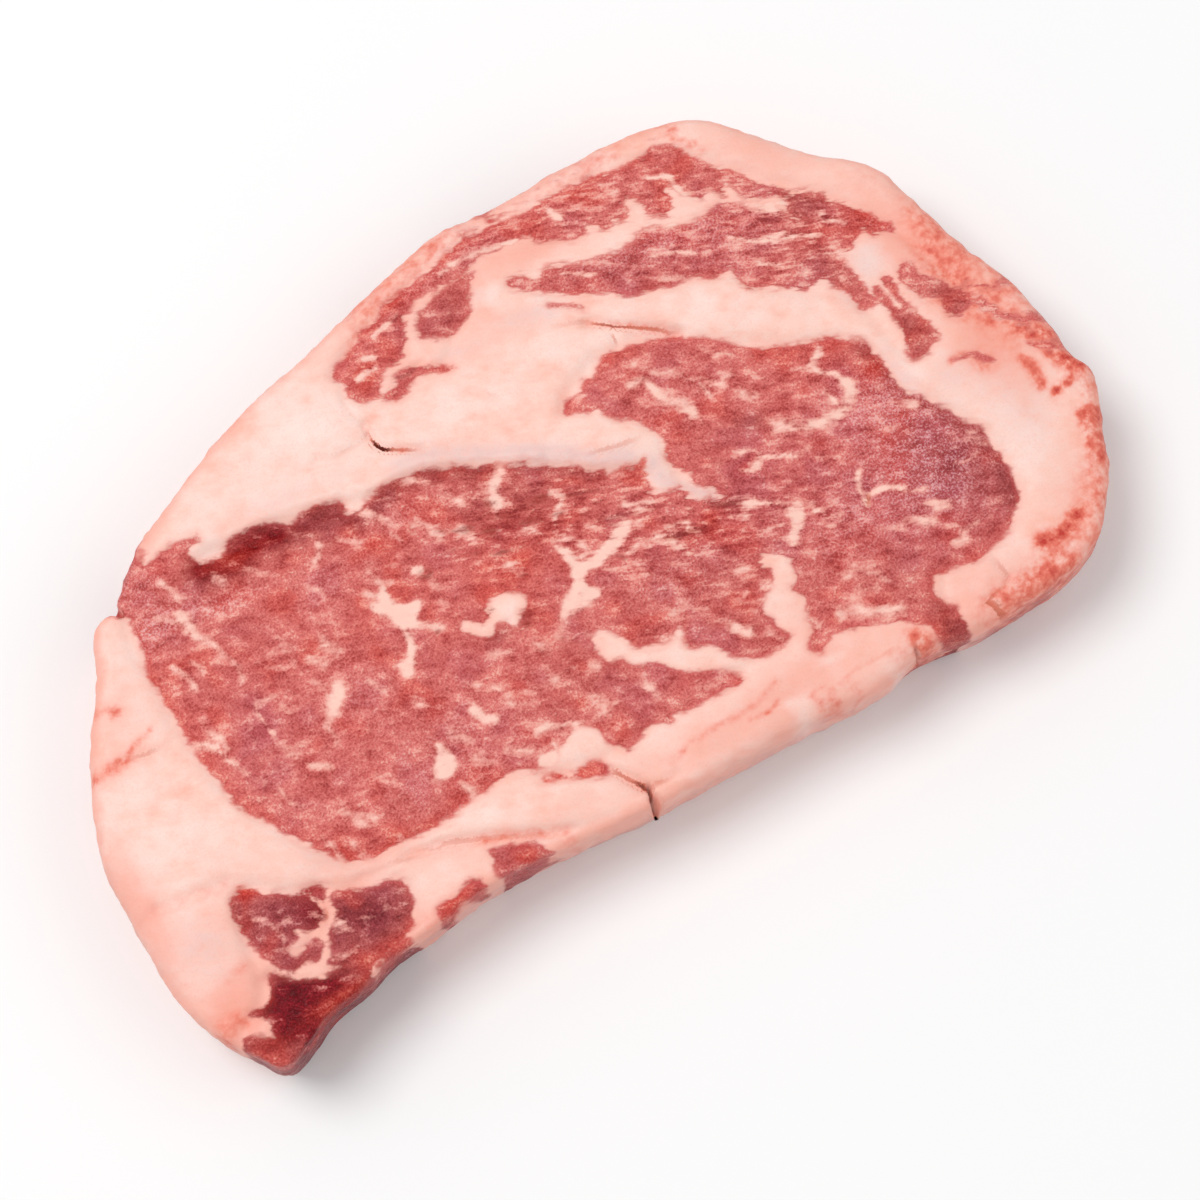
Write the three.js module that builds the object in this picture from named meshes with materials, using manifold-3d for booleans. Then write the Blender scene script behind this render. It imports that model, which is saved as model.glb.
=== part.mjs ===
// A raw ribeye: one boneless slice of beef, lying flat on its lower cut face.
// Millimetres, +Z up. +X runs from the thin tail to the thick cap, +Y to the fat-capped back.
// The origin is on the resting face, under the middle of the slice's box.
import * as THREE from "three";
import { mergeVertices } from "three/addons/utils/BufferGeometryUtils.js";
import Module from "manifold-3d";

// Driving dimensions
const LENGTH = 202.5; // along X, at the widest line of the wall
const WIDTH = 118.4; // along Y, at the widest line of the wall
const THICKNESS = 24; // from the resting face to the highest lobe of the upper cut face
const FOOT_ROLL = 3.2; // radius of the edge round the resting face
const FOOT_INSET = 0.9; // how far the foot of the wall stands in from its widest line
const WALL_SWELL = 0.5; // how far the wall bellies out at half height
const WALL_WAVE = 0.35; // height of the slow waves along the wall
const FACE_WAVE = 0.45; // height of the slow waves over the upper face
const EYE_CROWN = 0.9; // how far the middle of the eye muscle stands up
const CRACK_DEPTH = 3; // of the open splits between the lobes of fat

// Number of facets
const CELLS_LONG = 72; // of the upper face, along X
const CELLS_WIDE = 42; // of the upper face, along Y
const ROLL_STEPS = 3; // round the upper edge
const WALL_STEPS = 3; // down the wall
const FOOT_STEPS = 2; // round the lower edge
const CURVE_STEPS = 16; // straight pieces between two points of the outline, before it is divided

const LEAN = 0xc4625f;

// The outline where the slice is widest, seen from above and against the clock, in four runs.
// Each point is x, y and the radius of the upper edge there: large where soft fat rolls over
// the edge, and small where the knife left it crisp. Plan points are drawn about a point in
// the eye muscle; the finished slice is centred, and brought to its exact length and width.
const FRONT_EDGE = [
  [-90.7, -56.8, 1.2],
  [-84.8, -55.3, 1.4],
  [-79.9, -53.2, 1.4],
  [-71.3, -52.1, 1.4],
  [-65, -50.3, 1.4],
  [-56, -50, 1.4],
  [-44.5, -48.9, 1.6],
  [-25, -50.7, 1.8],
  [-10, -52.8, 2.2],
  [2.4, -53.4, 3],
  [19.9, -54.5, 4],
  [36.3, -56.1, 4],
  [45.6, -54.9, 3.6],
  [57.7, -57, 4],
  [66.5, -57, 3.4],
  [74, -56.8, 2.6],
];
const CAP_EDGE = [
  [81.1, -55.4, 2.6],
  [86.5, -52.2, 2.8],
  [93.8, -43.8, 3.6],
  [97, -37.1, 3.6],
  [100.7, -30.2, 3.4],
  [101.7, -26.2, 3.4],
  [100.4, -22.6, 3.6],
  [100.3, -15.1, 4],
  [98.9, -3.9, 4],
  [94.8, 8.6, 4],
  [92.5, 20.2, 4.2],
  [89.3, 29.8, 4.2],
  [82.3, 36.3, 4.4],
];
const BACK_EDGE = [
  [75.5, 44.6, 4.4],
  [66.6, 54.5, 4.4],
  [55.1, 58.5, 4.2],
  [38.9, 60, 4],
  [25.5, 60.1, 3.6],
  [15, 61.3, 3.6],
  [4.5, 59.7, 3.6],
  [-6.5, 57.3, 4],
  [-20.9, 53.6, 4.4],
  [-37, 50.2, 4.6],
  [-50, 45.6, 4.4],
  [-59.4, 41.3, 4],
  [-66.8, 37.7, 3.4],
];
const TAIL_EDGE = [
  [-73.5, 31.6, 2.2],
  [-79.3, 29, 2.6],
  [-83.6, 21, 3.2],
  [-91, 11.2, 3.8],
  [-94.6, 4.1, 4.2],
  [-97.1, -1.6, 4.4],
  [-99.6, -7.8, 4.6],
  [-100.2, -16, 4.6],
  [-100.8, -34, 4.2],
  [-99.6, -41, 3.2],
  [-97, -47.5, 2.2],
  [-93.9, -52.5, 1.4],
];

// The line that every point of the wall faces, so that rounded edges never cross.
const SPINE = new THREE.Line3(new THREE.Vector3(-45, -3, 0), new THREE.Vector3(45, -1, 0));

// Seams between the muscles and the fat: a shallow groove along a curve through plan points.
const SEAMS = [
  // front of the eye muscle
  {
    depth: 0.9,
    reach: 1.7,
    path: [[-67, 34.5], [-73.6, 26], [-75, 14], [-75, -2], [-72.6, -14], [-67, -25], [-60, -32.6],
      [-46, -34.6], [-34, -34.2], [-23, -38], [-10, -41], [3, -41], [14, -40.6], [24, -40.5]],
  },
  // back of the eye muscle
  {
    depth: 1.1,
    reach: 1.7,
    path: [[-57, 31.5], [-50, 29.6], [-41, 29], [-30, 26], [-20, 23.8], [-10, 21.3], [0, 15.4],
      [8, 10], [15, 5], [21.5, 1]],
  },
  // tongue of fat into the eye muscle
  {
    depth: 0.9,
    reach: 1.5,
    path: [[14.5, 18], [19, 15], [26, 7], [26.5, 1], [26, -5], [30, -11]],
  },
  // eye muscle against the cap fat
  {
    depth: 1,
    reach: 1.7,
    path: [[16, 20], [27, 23.5], [37, 21], [47, 13.4], [57, 6.5], [66, 2.5], [69.6, -5], [71.5, -14],
      [77.5, -27], [77, -39], [70, -44.5], [57, -45], [54, -50], [52, -55]],
  },
  // underside of the cap fat
  {
    depth: 0.9,
    reach: 1.6,
    path: [[28, 30], [33, 26], [40, 20]],
  },
  // lower cap muscle
  {
    depth: 0.8,
    reach: 1.6,
    path: [[19.5, 44], [27, 37.5], [36, 31.5], [47, 27.2], [55, 24.5], [60, 17.5], [70, 11],
      [72.5, 5], [74, -7.5]],
  },
  // cap muscle along the back
  {
    depth: 0.9,
    reach: 1.6,
    path: [[-17.3, 47], [-8, 51.8], [3, 54.8], [16, 57], [34, 55.6], [52, 53], [62, 47], [71, 36],
      [79.5, 27], [86, 15.5], [90, -2]],
  },
  // front of the cap muscle
  {
    depth: 0.7,
    reach: 1.5,
    path: [[-17, 41.5], [-10, 37], [1, 37.5], [6, 42], [15, 50.5], [26, 50.5], [37, 45.5], [48, 44]],
  },
  // tail muscles
  {
    depth: 1,
    reach: 1.6,
    path: [[-94, -48], [-87, -44], [-84.6, -33], [-81, -25.8], [-74, -31], [-66, -35.5], [-56, -39],
      [-57, -46], [-64, -49.3]],
  },
  // between the tail muscles
  {
    depth: 0.8,
    reach: 1.4,
    path: [[-85, -42], [-79, -41.2], [-72, -38.5], [-70, -33]],
  },
  // crease along the front fat
  {
    depth: 1,
    reach: 1.4,
    path: [[-52, -36.6], [-45, -38.6], [-36, -43], [-26, -48.2], [-18, -51]],
  },
  // crease to the front notch
  {
    depth: 1.1,
    reach: 1.3,
    path: [[-25, -38], [-18, -41.3], [-14, -43.5], [-11, -48.5]],
  },
  // creases of the tail fat
  {
    depth: 0.7,
    reach: 1.4,
    path: [[-95, -21], [-88, -22.5], [-82, -23.4]],
  },
];

// Soft lobes of fat and meat that stand up from the face: middle, half-lengths and height.
const LOBES = [
  { at: [-86, -8], size: [11, 14], height: 0.9 },
  { at: [-91, -31], size: [6, 9], height: 0.7 },
  { at: [-70, -28], size: [6, 5], height: 0.4 },
  { at: [-25, 41], size: [10, 7], height: 0.7 },
  { at: [-3, 30], size: [13, 7], height: 0.8 },
  { at: [14, 24], size: [12, 9], height: 0.6 },
  { at: [20, 13], size: [6, 5], height: 0.6 },
  { at: [52, 17], size: [14, 6], height: 0.5 },
  { at: [80, -22], size: [8, 14], height: 0.6 },
  { at: [-30, -43], size: [12, 4], height: 0.5 },
  { at: [6, -48], size: [16, 6], height: 0.8 },
  { at: [34, -50], size: [10, 6], height: 0.7 },
  { at: [68, -50], size: [12, 5], height: 0.6 },
  { at: [-74, -40], size: [8, 6], height: 0.6 },
  { at: [-84, -49], size: [8, 4], height: 0.4 },
  { at: [40, 50], size: [18, 5], height: 0.4 },
];

// Open splits: each is a lens in plan, from one end to the other, widest in the middle.
const SPLITS = [
  { from: [27.5, 30], to: [41, 19.4], width: 1.3, depth: CRACK_DEPTH },
  { from: [-18.2, 33.4], to: [-16.6, 29.6], width: 1.2, depth: CRACK_DEPTH },
  { from: [58, -55.4], to: [67.5, -52.2], width: 1.1, depth: CRACK_DEPTH },
];

// Notches bitten into the rim: the inner tip, the two outer ends and the height of the floor.
const NOTCHES = [
  { tip: [-10.2, -48.8], left: [-12.6, -56], right: [-9.4, -56], floor: 9 },
  { tip: [44.3, -53.4], left: [43.2, -59], right: [45.4, -59], floor: 12 },
  { tip: [-73.2, 28.6], left: [-73.4, 33], right: [-76.2, 31.4], floor: 14 },
];

const plan = ([x, y]) => new THREE.Vector3(x, y, 0);

// Points at equal steps along a run of the closed outline, its first and last point included.
function divide(curve, pointCount, first, last, pieces) {
  const steps = (last - first) * CURVE_STEPS;
  const fine = [];
  const travelled = [0];
  for (let k = 0; k <= steps; k += 1) {
    fine.push(curve.getPoint(((first + k / CURVE_STEPS) / pointCount) % 1));
    if (k) travelled.push(travelled[k - 1] + fine[k].distanceTo(fine[k - 1]));
  }
  const nodes = [];
  let k = 1;
  for (let i = 0; i <= pieces; i += 1) {
    const target = (travelled[steps] * i) / pieces;
    while (k < steps && travelled[k] < target) k += 1;
    const share = (target - travelled[k - 1]) / (travelled[k] - travelled[k - 1]);
    nodes.push(fine[k - 1].clone().lerp(fine[k], share));
  }
  return nodes;
}

// The four sides of the outline, divided alike on opposite sides. z holds the edge's radius.
function outlineSides() {
  const runs = [FRONT_EDGE, CAP_EDGE, BACK_EDGE, TAIL_EDGE];
  const points = runs.flat().map(([x, y, roll]) => new THREE.Vector3(x, y, roll));
  const curve = new THREE.CatmullRomCurve3(points, true, "centripetal");
  let first = 0;
  return runs.map((run, side) => {
    const last = first + run.length;
    const pieces = side % 2 ? CELLS_WIDE : CELLS_LONG;
    const nodes = divide(curve, points.length, first, last, pieces);
    first = last;
    return nodes;
  });
}

// The way from a point of the wall straight in to the spine.
function inward(point) {
  const flat = plan([point.x, point.y]);
  return SPINE.closestPointToPoint(flat, true, new THREE.Vector3()).sub(flat).normalize();
}

function distanceToPath(x, y, path) {
  const point = plan([x, y]);
  const nearest = new THREE.Vector3();
  let best = Infinity;
  for (let i = 1; i < path.length; i += 1) {
    new THREE.Line3(path[i - 1], path[i]).closestPointToPoint(point, true, nearest);
    best = Math.min(best, nearest.distanceTo(point));
  }
  return best;
}

const seamPaths = SEAMS.map(({ depth, reach, path }) => ({
  depth,
  reach,
  path: new THREE.CatmullRomCurve3(path.map(plan), false, "centripetal").getPoints(3 * path.length),
}));

// Slow waves, lobes and seams of the upper face, as a height above its mean level.
function faceRelief(x, y) {
  const waves = Math.sin(x / 31 + 0.6) * Math.cos(y / 23 - 0.4) + 0.5 * Math.sin(x / 13 - y / 17);
  const crown = Math.exp(-(((x + 8) / 62) ** 2) - ((y + 6) / 30) ** 2);
  let height = FACE_WAVE * waves + EYE_CROWN * crown;
  for (const { at, size, height: rise } of LOBES)
    height += rise * Math.exp(-(((x - at[0]) / size[0]) ** 2) - ((y - at[1]) / size[1]) ** 2);
  for (const { depth, reach, path } of seamPaths)
    height -= depth * Math.exp(-((distanceToPath(x, y, path) / reach) ** 2));
  return height;
}

// A patch over the four sides of the upper face's edge: rows of points, front to back.
function facePatch([front, right, back, left]) {
  const backwards = [...back].reverse();
  const leftwards = [...left].reverse();
  const rows = [];
  for (let j = 0; j <= CELLS_WIDE; j += 1) {
    const v = j / CELLS_WIDE;
    rows.push(
      front.map((_, i) => {
        const u = i / CELLS_LONG;
        const across = leftwards[j].clone().lerp(right[j], u);
        const along = front[i].clone().lerp(backwards[i], v);
        const frontCorners = front[0].clone().lerp(front[CELLS_LONG], u);
        const backCorners = backwards[0].clone().lerp(backwards[CELLS_LONG], u);
        return across.add(along).sub(frontCorners.lerp(backCorners, v));
      }),
    );
  }
  return rows;
}

// Rings of the wall below one point of the widest outline: how far in, and the height as a
// share of the height of the face's edge there.
function wallRings(widest, edgeHeight, angle) {
  const roll = widest.z;
  const rings = [];
  for (let k = 1; k <= ROLL_STEPS; k += 1) {
    const turn = (Math.PI / 2) * (k / ROLL_STEPS);
    rings.push([roll * (1 - Math.sin(turn)), edgeHeight - roll * (1 - Math.cos(turn))]);
  }
  const top = edgeHeight - roll;
  for (let k = 1; k <= WALL_STEPS; k += 1) {
    const share = k / WALL_STEPS;
    const swell = WALL_SWELL * Math.sin(Math.PI * share);
    const wave = WALL_WAVE * Math.sin(9 * angle + 4 * share) * Math.sin(Math.PI * share);
    rings.push([FOOT_INSET * share - swell - wave, top + (FOOT_ROLL - top) * share]);
  }
  for (let k = 1; k <= FOOT_STEPS; k += 1) {
    const turn = (Math.PI / 2) * (k / FOOT_STEPS);
    const inset = FOOT_INSET + FOOT_ROLL * (1 - Math.cos(turn));
    rings.push([inset, FOOT_ROLL * (1 - Math.sin(turn))]);
  }
  return rings;
}

// The whole slice as one closed skin: patch on top, rings down the wall, fan underneath.
function sliceGeometry() {
  const sides = outlineSides();
  const edges = sides.map((side) =>
    side.map((widest) => plan([widest.x, widest.y]).addScaledVector(inward(widest), widest.z)),
  );
  const rows = facePatch(edges);
  for (const row of rows) for (const point of row) point.z = faceRelief(point.x, point.y);
  const highest = Math.max(...rows.flat().map((point) => point.z));
  for (const row of rows) for (const point of row) point.z += THICKNESS - highest;

  const corners = [];
  const triangle = (...points) => points.forEach((point) => corners.push(...point.toArray()));
  for (let j = 0; j < CELLS_WIDE; j += 1)
    for (let i = 0; i < CELLS_LONG; i += 1) {
      const [a, b] = [rows[j][i], rows[j][i + 1]];
      const [d, c] = [rows[j + 1][i], rows[j + 1][i + 1]];
      const towardsMiddle = i < CELLS_LONG / 2 === j < CELLS_WIDE / 2;
      if (towardsMiddle) {
        triangle(a, b, c);
        triangle(a, c, d);
      } else {
        triangle(a, b, d);
        triangle(b, c, d);
      }
    }

  const faceEdge = [
    ...rows[0].slice(0, -1),
    ...rows.slice(0, -1).map((row) => row[CELLS_LONG]),
    ...rows[CELLS_WIDE].slice(1).reverse(),
    ...rows.slice(1).map((row) => row[0]).reverse(),
  ];
  const widestLine = sides.flatMap((side) => side.slice(0, -1));
  const columns = widestLine.map((widest, i) => {
    const angle = (2 * Math.PI * i) / widestLine.length;
    const rings = wallRings(widest, faceEdge[i].z, angle).map(([inset, z]) =>
      plan([widest.x, widest.y]).addScaledVector(inward(widest), inset).setZ(z),
    );
    return [faceEdge[i], ...rings];
  });
  const middle = new THREE.Vector3();
  columns.forEach((column, i) => {
    const next = columns[(i + 1) % columns.length];
    for (let k = 1; k < column.length; k += 1) {
      triangle(column[k], next[k], next[k - 1]);
      triangle(column[k], next[k - 1], column[k - 1]);
    }
    triangle(middle, next.at(-1), column.at(-1));
  });
  return skin(corners);
}

function skin(corners) {
  const geometry = new THREE.BufferGeometry();
  geometry.setAttribute("position", new THREE.Float32BufferAttribute(corners, 3));
  return geometry;
}

// A cutter with upright walls over a plan outline, from a floor to above the upper face.
function cutter(outline, floor) {
  const shape = new THREE.Shape(outline.map(({ x, y }) => new THREE.Vector2(x, y)));
  const depth = THICKNESS + 2 - floor;
  return new THREE.ExtrudeGeometry(shape, { depth, bevelEnabled: false }).translate(0, 0, floor);
}

function splitCutter({ from, to, width, depth }) {
  const [start, end] = [plan(from), plan(to)];
  const along = end.clone().sub(start);
  const aside = new THREE.Vector3(-along.y, along.x, 0).setLength(width / 2);
  const lens = [0, 0.2, 0.5, 0.8, 1, 0.8, 0.5, 0.2].map((share, i) =>
    start.clone().addScaledVector(along, share)
      .addScaledVector(aside, Math.sin(Math.PI * share) * (i > 4 ? 1 : -1)),
  );
  return cutter(lens, THICKNESS - 1 - depth);
}

const notchCutter = ({ tip, left, right, floor }) => cutter([tip, left, right].map(plan), floor);

const wasm = await Module();
wasm.setup();

function solid(geometry) {
  const bare = geometry.clone();
  bare.deleteAttribute("normal");
  bare.deleteAttribute("uv");
  const merged = mergeVertices(bare, 1e-4);
  return new wasm.Manifold(
    new wasm.Mesh({
      numProp: 3,
      vertProperties: merged.attributes.position.array,
      triVerts: new Uint32Array(merged.index.array),
    }),
  );
}

// The slice with its splits and notches cut, at its exact size and centred on its box.
function ribeyeGeometry() {
  const cutters = [...SPLITS.map(splitCutter), ...NOTCHES.map(notchCutter)];
  const cut = cutters.reduce((body, tool) => body.subtract(solid(tool)), solid(sliceGeometry()));
  const { vertProperties, triVerts } = cut.getMesh();
  const geometry = new THREE.BufferGeometry();
  geometry.setAttribute("position", new THREE.BufferAttribute(vertProperties, 3));
  geometry.setIndex(new THREE.BufferAttribute(triVerts, 1));
  geometry.computeBoundingBox();
  const { min, max } = geometry.boundingBox;
  geometry.translate(-(min.x + max.x) / 2, -(min.y + max.y) / 2, -min.z);
  geometry.scale(LENGTH / (max.x - min.x), WIDTH / (max.y - min.y), 1);
  geometry.computeVertexNormals();
  return geometry;
}

const ribeye = new THREE.Mesh(
  ribeyeGeometry(),
  new THREE.MeshStandardMaterial({ color: LEAN, roughness: 0.45, metalness: 0 }),
);
ribeye.name = "ribeye";

const steak = new THREE.Group();
steak.add(ribeye);

export default steak;
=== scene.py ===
import math

import bpy
import numpy as np
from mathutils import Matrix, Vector


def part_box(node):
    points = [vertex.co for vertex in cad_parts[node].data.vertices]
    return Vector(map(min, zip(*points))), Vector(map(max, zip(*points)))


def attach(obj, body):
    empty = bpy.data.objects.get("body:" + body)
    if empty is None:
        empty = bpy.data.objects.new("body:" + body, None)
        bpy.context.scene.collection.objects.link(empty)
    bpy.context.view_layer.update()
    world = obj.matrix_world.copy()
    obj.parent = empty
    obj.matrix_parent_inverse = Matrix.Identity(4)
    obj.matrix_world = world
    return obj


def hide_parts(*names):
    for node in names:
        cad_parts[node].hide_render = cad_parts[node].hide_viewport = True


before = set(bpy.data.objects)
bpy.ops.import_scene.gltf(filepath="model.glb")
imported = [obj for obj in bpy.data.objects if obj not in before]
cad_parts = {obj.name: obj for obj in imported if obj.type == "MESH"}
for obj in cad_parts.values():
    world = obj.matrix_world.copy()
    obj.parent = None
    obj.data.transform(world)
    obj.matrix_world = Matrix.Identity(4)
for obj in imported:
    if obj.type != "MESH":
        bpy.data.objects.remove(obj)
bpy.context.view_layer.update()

MM = 0.001
THICKNESS = 24.0  # resting face to the highest lobe of the cut face

# ---------------------------------------------------------------- the slice's outline
# Against the clock where the slice is widest: x, y and the radius of the upper edge.
FRONT_EDGE = [
    (-90.7, -56.8, 1.2), (-84.8, -55.3, 1.4), (-79.9, -53.2, 1.4), (-71.3, -52.1, 1.4),
    (-65, -50.3, 1.4), (-56, -50, 1.4), (-44.5, -48.9, 1.6), (-25, -50.7, 1.8), (-10, -52.8, 2.2),
    (2.4, -53.4, 3), (19.9, -54.5, 4), (36.3, -56.1, 4), (45.6, -54.9, 3.6), (57.7, -57, 4),
    (66.5, -57, 3.4), (74, -56.8, 2.6),
]
CAP_EDGE = [
    (81.1, -55.4, 2.6), (86.5, -52.2, 2.8), (93.8, -43.8, 3.6), (97, -37.1, 3.6),
    (100.7, -30.2, 3.4), (101.7, -26.2, 3.4), (100.4, -22.6, 3.6), (100.3, -15.1, 4),
    (98.9, -3.9, 4), (94.8, 8.6, 4), (92.5, 20.2, 4.2), (89.3, 29.8, 4.2), (82.3, 36.3, 4.4),
    (75.5, 44.6, 4.4),
]
BACK_EDGE = [
    (66.6, 54.5, 4.4), (55.1, 58.5, 4.2), (38.9, 60, 4), (25.5, 60.1, 3.6),
    (15, 61.3, 3.6), (4.5, 59.7, 3.6), (-6.5, 57.3, 4), (-20.9, 53.6, 4.4), (-37, 50.2, 4.6),
    (-50, 45.6, 4.4), (-59.4, 41.3, 4), (-66.8, 37.7, 3.4),
    (-73.5, 31.6, 2.2),
]
TAIL_EDGE = [
    (-79.3, 29, 2.6), (-83.6, 21, 3.2), (-91, 11.2, 3.8), (-94.6, 4.1, 4.2),
    (-97.1, -1.6, 4.4), (-99.6, -7.8, 4.6), (-100.2, -16, 4.6), (-100.8, -34, 4.2),
    (-99.6, -41, 3.2), (-97, -47.5, 2.2), (-93.9, -52.5, 1.4),
]
SPINE = ((-45, -3), (45, -1))  # every point of the wall faces this line
FOOT_ROLL = 3.2  # radius of the edge round the resting face
FOOT_INSET = 0.9  # how far the wall draws in towards its foot
UNDER_INSET = 0.9  # from the foot's last ring to the grid of the resting face
WALL_SWELL, WALL_WAVE = 0.5, 0.35  # the belly of the wall and its waves
FACE_WAVE = 0.45  # height of the slow waves of the cut face
EYE_CROWN, EYE_MIDDLE, EYE_REACH = 0.9, (-8, -6), (62, 30)  # the eye muscle stands up a little
NOTCH_EDGE = (-0.25, 0.35)  # where a notch starts and reaches its full depth

CELLS_LONG, CELLS_WIDE = 300, 176  # of the upper face
ROLL_STEPS, WALL_STEPS, FOOT_STEPS = 7, 13, 5
CURVE_STEPS = 16
RELAX_STEPS = 400  # evens out the grid of the upper face

# ---------------------------------------------------------------- fine relief and the wall
FAT_STEP, VEIN_STEP = 0.3, 0.12  # how far fat and veins stand above the lean
CREASE_SHARE, CREASE_WIDEN = 0.8, 0.45  # share of its depth that is cut, and how much wider
PIT_SHARE = 0.6  # share of a gap's depth that is cut
CHUNK_RISE, CHUNK_PLACE = 0.5, (-13.5, -7.6, 3.4, 2.4, -30)  # the proud chunk of fat
GRAIN_SIZE, LEAN_GRAIN, FAT_GRAIN = 2.4, 0.1, 0.02
SWELL_SIZE, SWELL = 8.0, 0.16
DRIFT_SIZE, DRIFT = 12.0, 2.6  # the pattern wanders on its way down the wall
RIPPLE_SIZE, RIPPLE = 5.0, 0.22
CREASE_FADE = (6, 2.5)  # a crease's painted shade and stain fade between these depths below the cut face
CLUSTER_SIZE, BROAD_SIZE = 3.6, 9  # of the two slow mottles

# ---------------------------------------------------------------- lean and fat on the cut face
EYE = [
    (-74.5, 29), (-76, 30.5), (-71.5, 34.6), (-67.6, 37.4), (-65.4, 35), (-61, 35.3), (-57.5, 35.1),
    (-54.2, 34.7), (-54.1, 33.4), (-56, 33.1), (-57.1, 32.1), (-56.5, 30.6), (-54.9, 29.2),
    (-52.8, 28.7), (-50.9, 29.6), (-49.4, 30.3), (-44.1, 30.3), (-42.3, 29.6), (-40.5, 28.7),
    (-38.7, 27.3), (-33.7, 27.6), (-29.8, 26.4), (-28.5, 24.9), (-29.3, 23.5), (-28.4, 22.4),
    (-26.6, 22.4), (-25.1, 23.5), (-20.9, 24), (-17.3, 23.5), (-14.4, 23.1), (-11.9, 22.1),
    (-8.7, 20.6), (-3, 17.4), (0.6, 14.9), (3.4, 13.8), (4.5, 12.4), (7.7, 10.2), (10.2, 8.8),
    (12.4, 6.3), (14.5, 5), (15.2, 3.8), (17.7, 3.3), (19.9, 2.4), (22, 2.5), (20.9, 0.9),
    (20.2, -1.6), (20.2, -4.4), (22, -5.1), (24.5, -5.5), (25.6, -8.4), (26.6, -9.8),
    (28.4, -10.1), (30.2, -11.2), (29.5, -9.1), (28.1, -7.3), (27.4, -5.5), (27.7, -4.4),
    (26.3, -2.6), (25.2, -0.1), (25.9, 1.3), (27, 3.4), (27, 4.9), (26.3, 6.6), (25.2, 8.8),
    (23.8, 10.2), (22, 11.6), (20.6, 13.4), (19.9, 14.9), (18.4, 15.2), (16.3, 16.6), (14.5, 17),
    (14.1, 18.1), (14.9, 19.5), (16.3, 20.2), (18.4, 19.5), (19.9, 20.3), (21.3, 21.7), (22.7, 21),
    (24.1, 22.1), (25.6, 23.1), (28.1, 23.5), (29.9, 22.8), (34.1, 21.7), (37.4, 20.6),
    (40.2, 19.9), (41.3, 18.1), (43.1, 17.4), (45.2, 15.2), (47, 13.4), (50.6, 10.2), (54.9, 7.7),
    (60.2, 5.4), (64.5, 4.1), (65.9, 2.4), (68.8, 0.2), (69.3, -3), (69.9, -5.1), (69.3, -7.6),
    (69.9, -12.3), (71.3, -13.7), (73.4, -17.6), (74.9, -20), (75.6, -22.6), (77, -24.4),
    (78.1, -26.1), (77.4, -27.6), (77.7, -32.6), (77.2, -38.6), (75.9, -40.8), (74.1, -41.5),
    (72.4, -43.3), (70.2, -44.4), (66.3, -45.4), (62.4, -46.1), (61.3, -45.1), (57, -44.7),
    (55.2, -44.4), (53.8, -45.4), (53.1, -47.2), (53.8, -49.7), (55, -51.1), (54.1, -53.3),
    (52, -54), (51.5, -60), (47.6, -60), (48.4, -54.7), (48.8, -51.9), (47, -49.7), (44.9, -48.3),
    (43.1, -47.2), (40.9, -45.8), (37.4, -45.1), (35.6, -44), (32.7, -43.6), (30.9, -44.4),
    (29.9, -45.3), (28.8, -44.7), (28.1, -43.3), (29.1, -41.9), (30.9, -40.1), (30.9, -38.3),
    (32.4, -36.1), (32.4, -34.4), (31.3, -32.2), (33.1, -31.5), (34.1, -29.7), (34.1, -27.2),
    (32.7, -25.1), (29.9, -24.7), (29.5, -25.8), (30.6, -27.2), (28.4, -30.1), (26.6, -30.8),
    (25.2, -32.6), (25.6, -35.1), (26.3, -38.3), (27.4, -39.7), (24.9, -40.3), (22, -40.3),
    (19.1, -39.7), (17, -38.3), (15.2, -36.5), (14.5, -34.4), (12.7, -32.9), (10.6, -32.2),
    (9.3, -30.4), (10.6, -29), (10.2, -27.6), (7.4, -28.6), (4.1, -27.9), (1.6, -26.1),
    (0.6, -23.6), (-0.9, -20.8), (-2.3, -20), (-4.4, -21.1), (-3.7, -26.1), (-1.6, -26.9),
    (0.2, -29.4), (2.4, -30.1), (3.8, -31.5), (5.6, -33.3), (7.4, -35.1), (10.2, -36.5),
    (12, -37.6), (13.8, -39), (15.2, -41.5), (12.7, -42), (8.8, -41.5), (3.4, -41.1), (0.9, -40.3),
    (0, -41.3), (-1.6, -40.4), (-3.7, -40.1), (-6.6, -40.8), (-9.1, -41.5), (-10.5, -40.4),
    (-11.9, -39), (-12.5, -35.8), (-15.5, -33.2), (-19, -34.4), (-23, -36.6), (-27, -34.6),
    (-31, -33.6), (-34.4, -34), (-39.8, -34.2), (-45.1, -34.7), (-49.4, -34.4), (-56, -33.6),
    (-59.2, -33.1), (-61.4, -32.2), (-63.9, -29.7), (-65.6, -27.2), (-67.4, -24.4), (-68.9, -21.9),
    (-71, -17.6), (-73.5, -13), (-74.4, -6.6), (-75.3, 2), (-74.9, 7), (-75.1, 14.9),
    (-74.9, 18.4), (-73.7, 20.9), (-73.3, 24.2), (-72.8, 27.4),
]
TAIL_UPPER = [
    (-82.8, -26), (-81.4, -25.4), (-78.9, -27.2), (-77.8, -29), (-75.6, -29.7), (-73.9, -31.3),
    (-72.1, -32.2), (-71.2, -34), (-70.3, -37.2), (-70.8, -38.3), (-72.8, -38.6), (-73.9, -39.4),
    (-76.4, -37.6), (-76.7, -38.5), (-78.1, -39.5), (-79.6, -40.1), (-79.2, -41.1), (-74.6, -40.4),
    (-73.9, -41.9), (-74.6, -43.6), (-76, -44.5), (-78.1, -43.6), (-80.3, -43.6), (-81.7, -42.2),
    (-83.1, -40.4), (-83.7, -39), (-84.4, -36.1), (-84.9, -32.2), (-84.9, -29.7), (-84.6, -27.9),
]
TAIL_STRIP = [
    (-72.2, -31.4), (-69.9, -31.7), (-68.5, -32.6), (-67.4, -33.6), (-68.9, -34.4),
    (-69.9, -35.8), (-70.6, -34),
]
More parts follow.
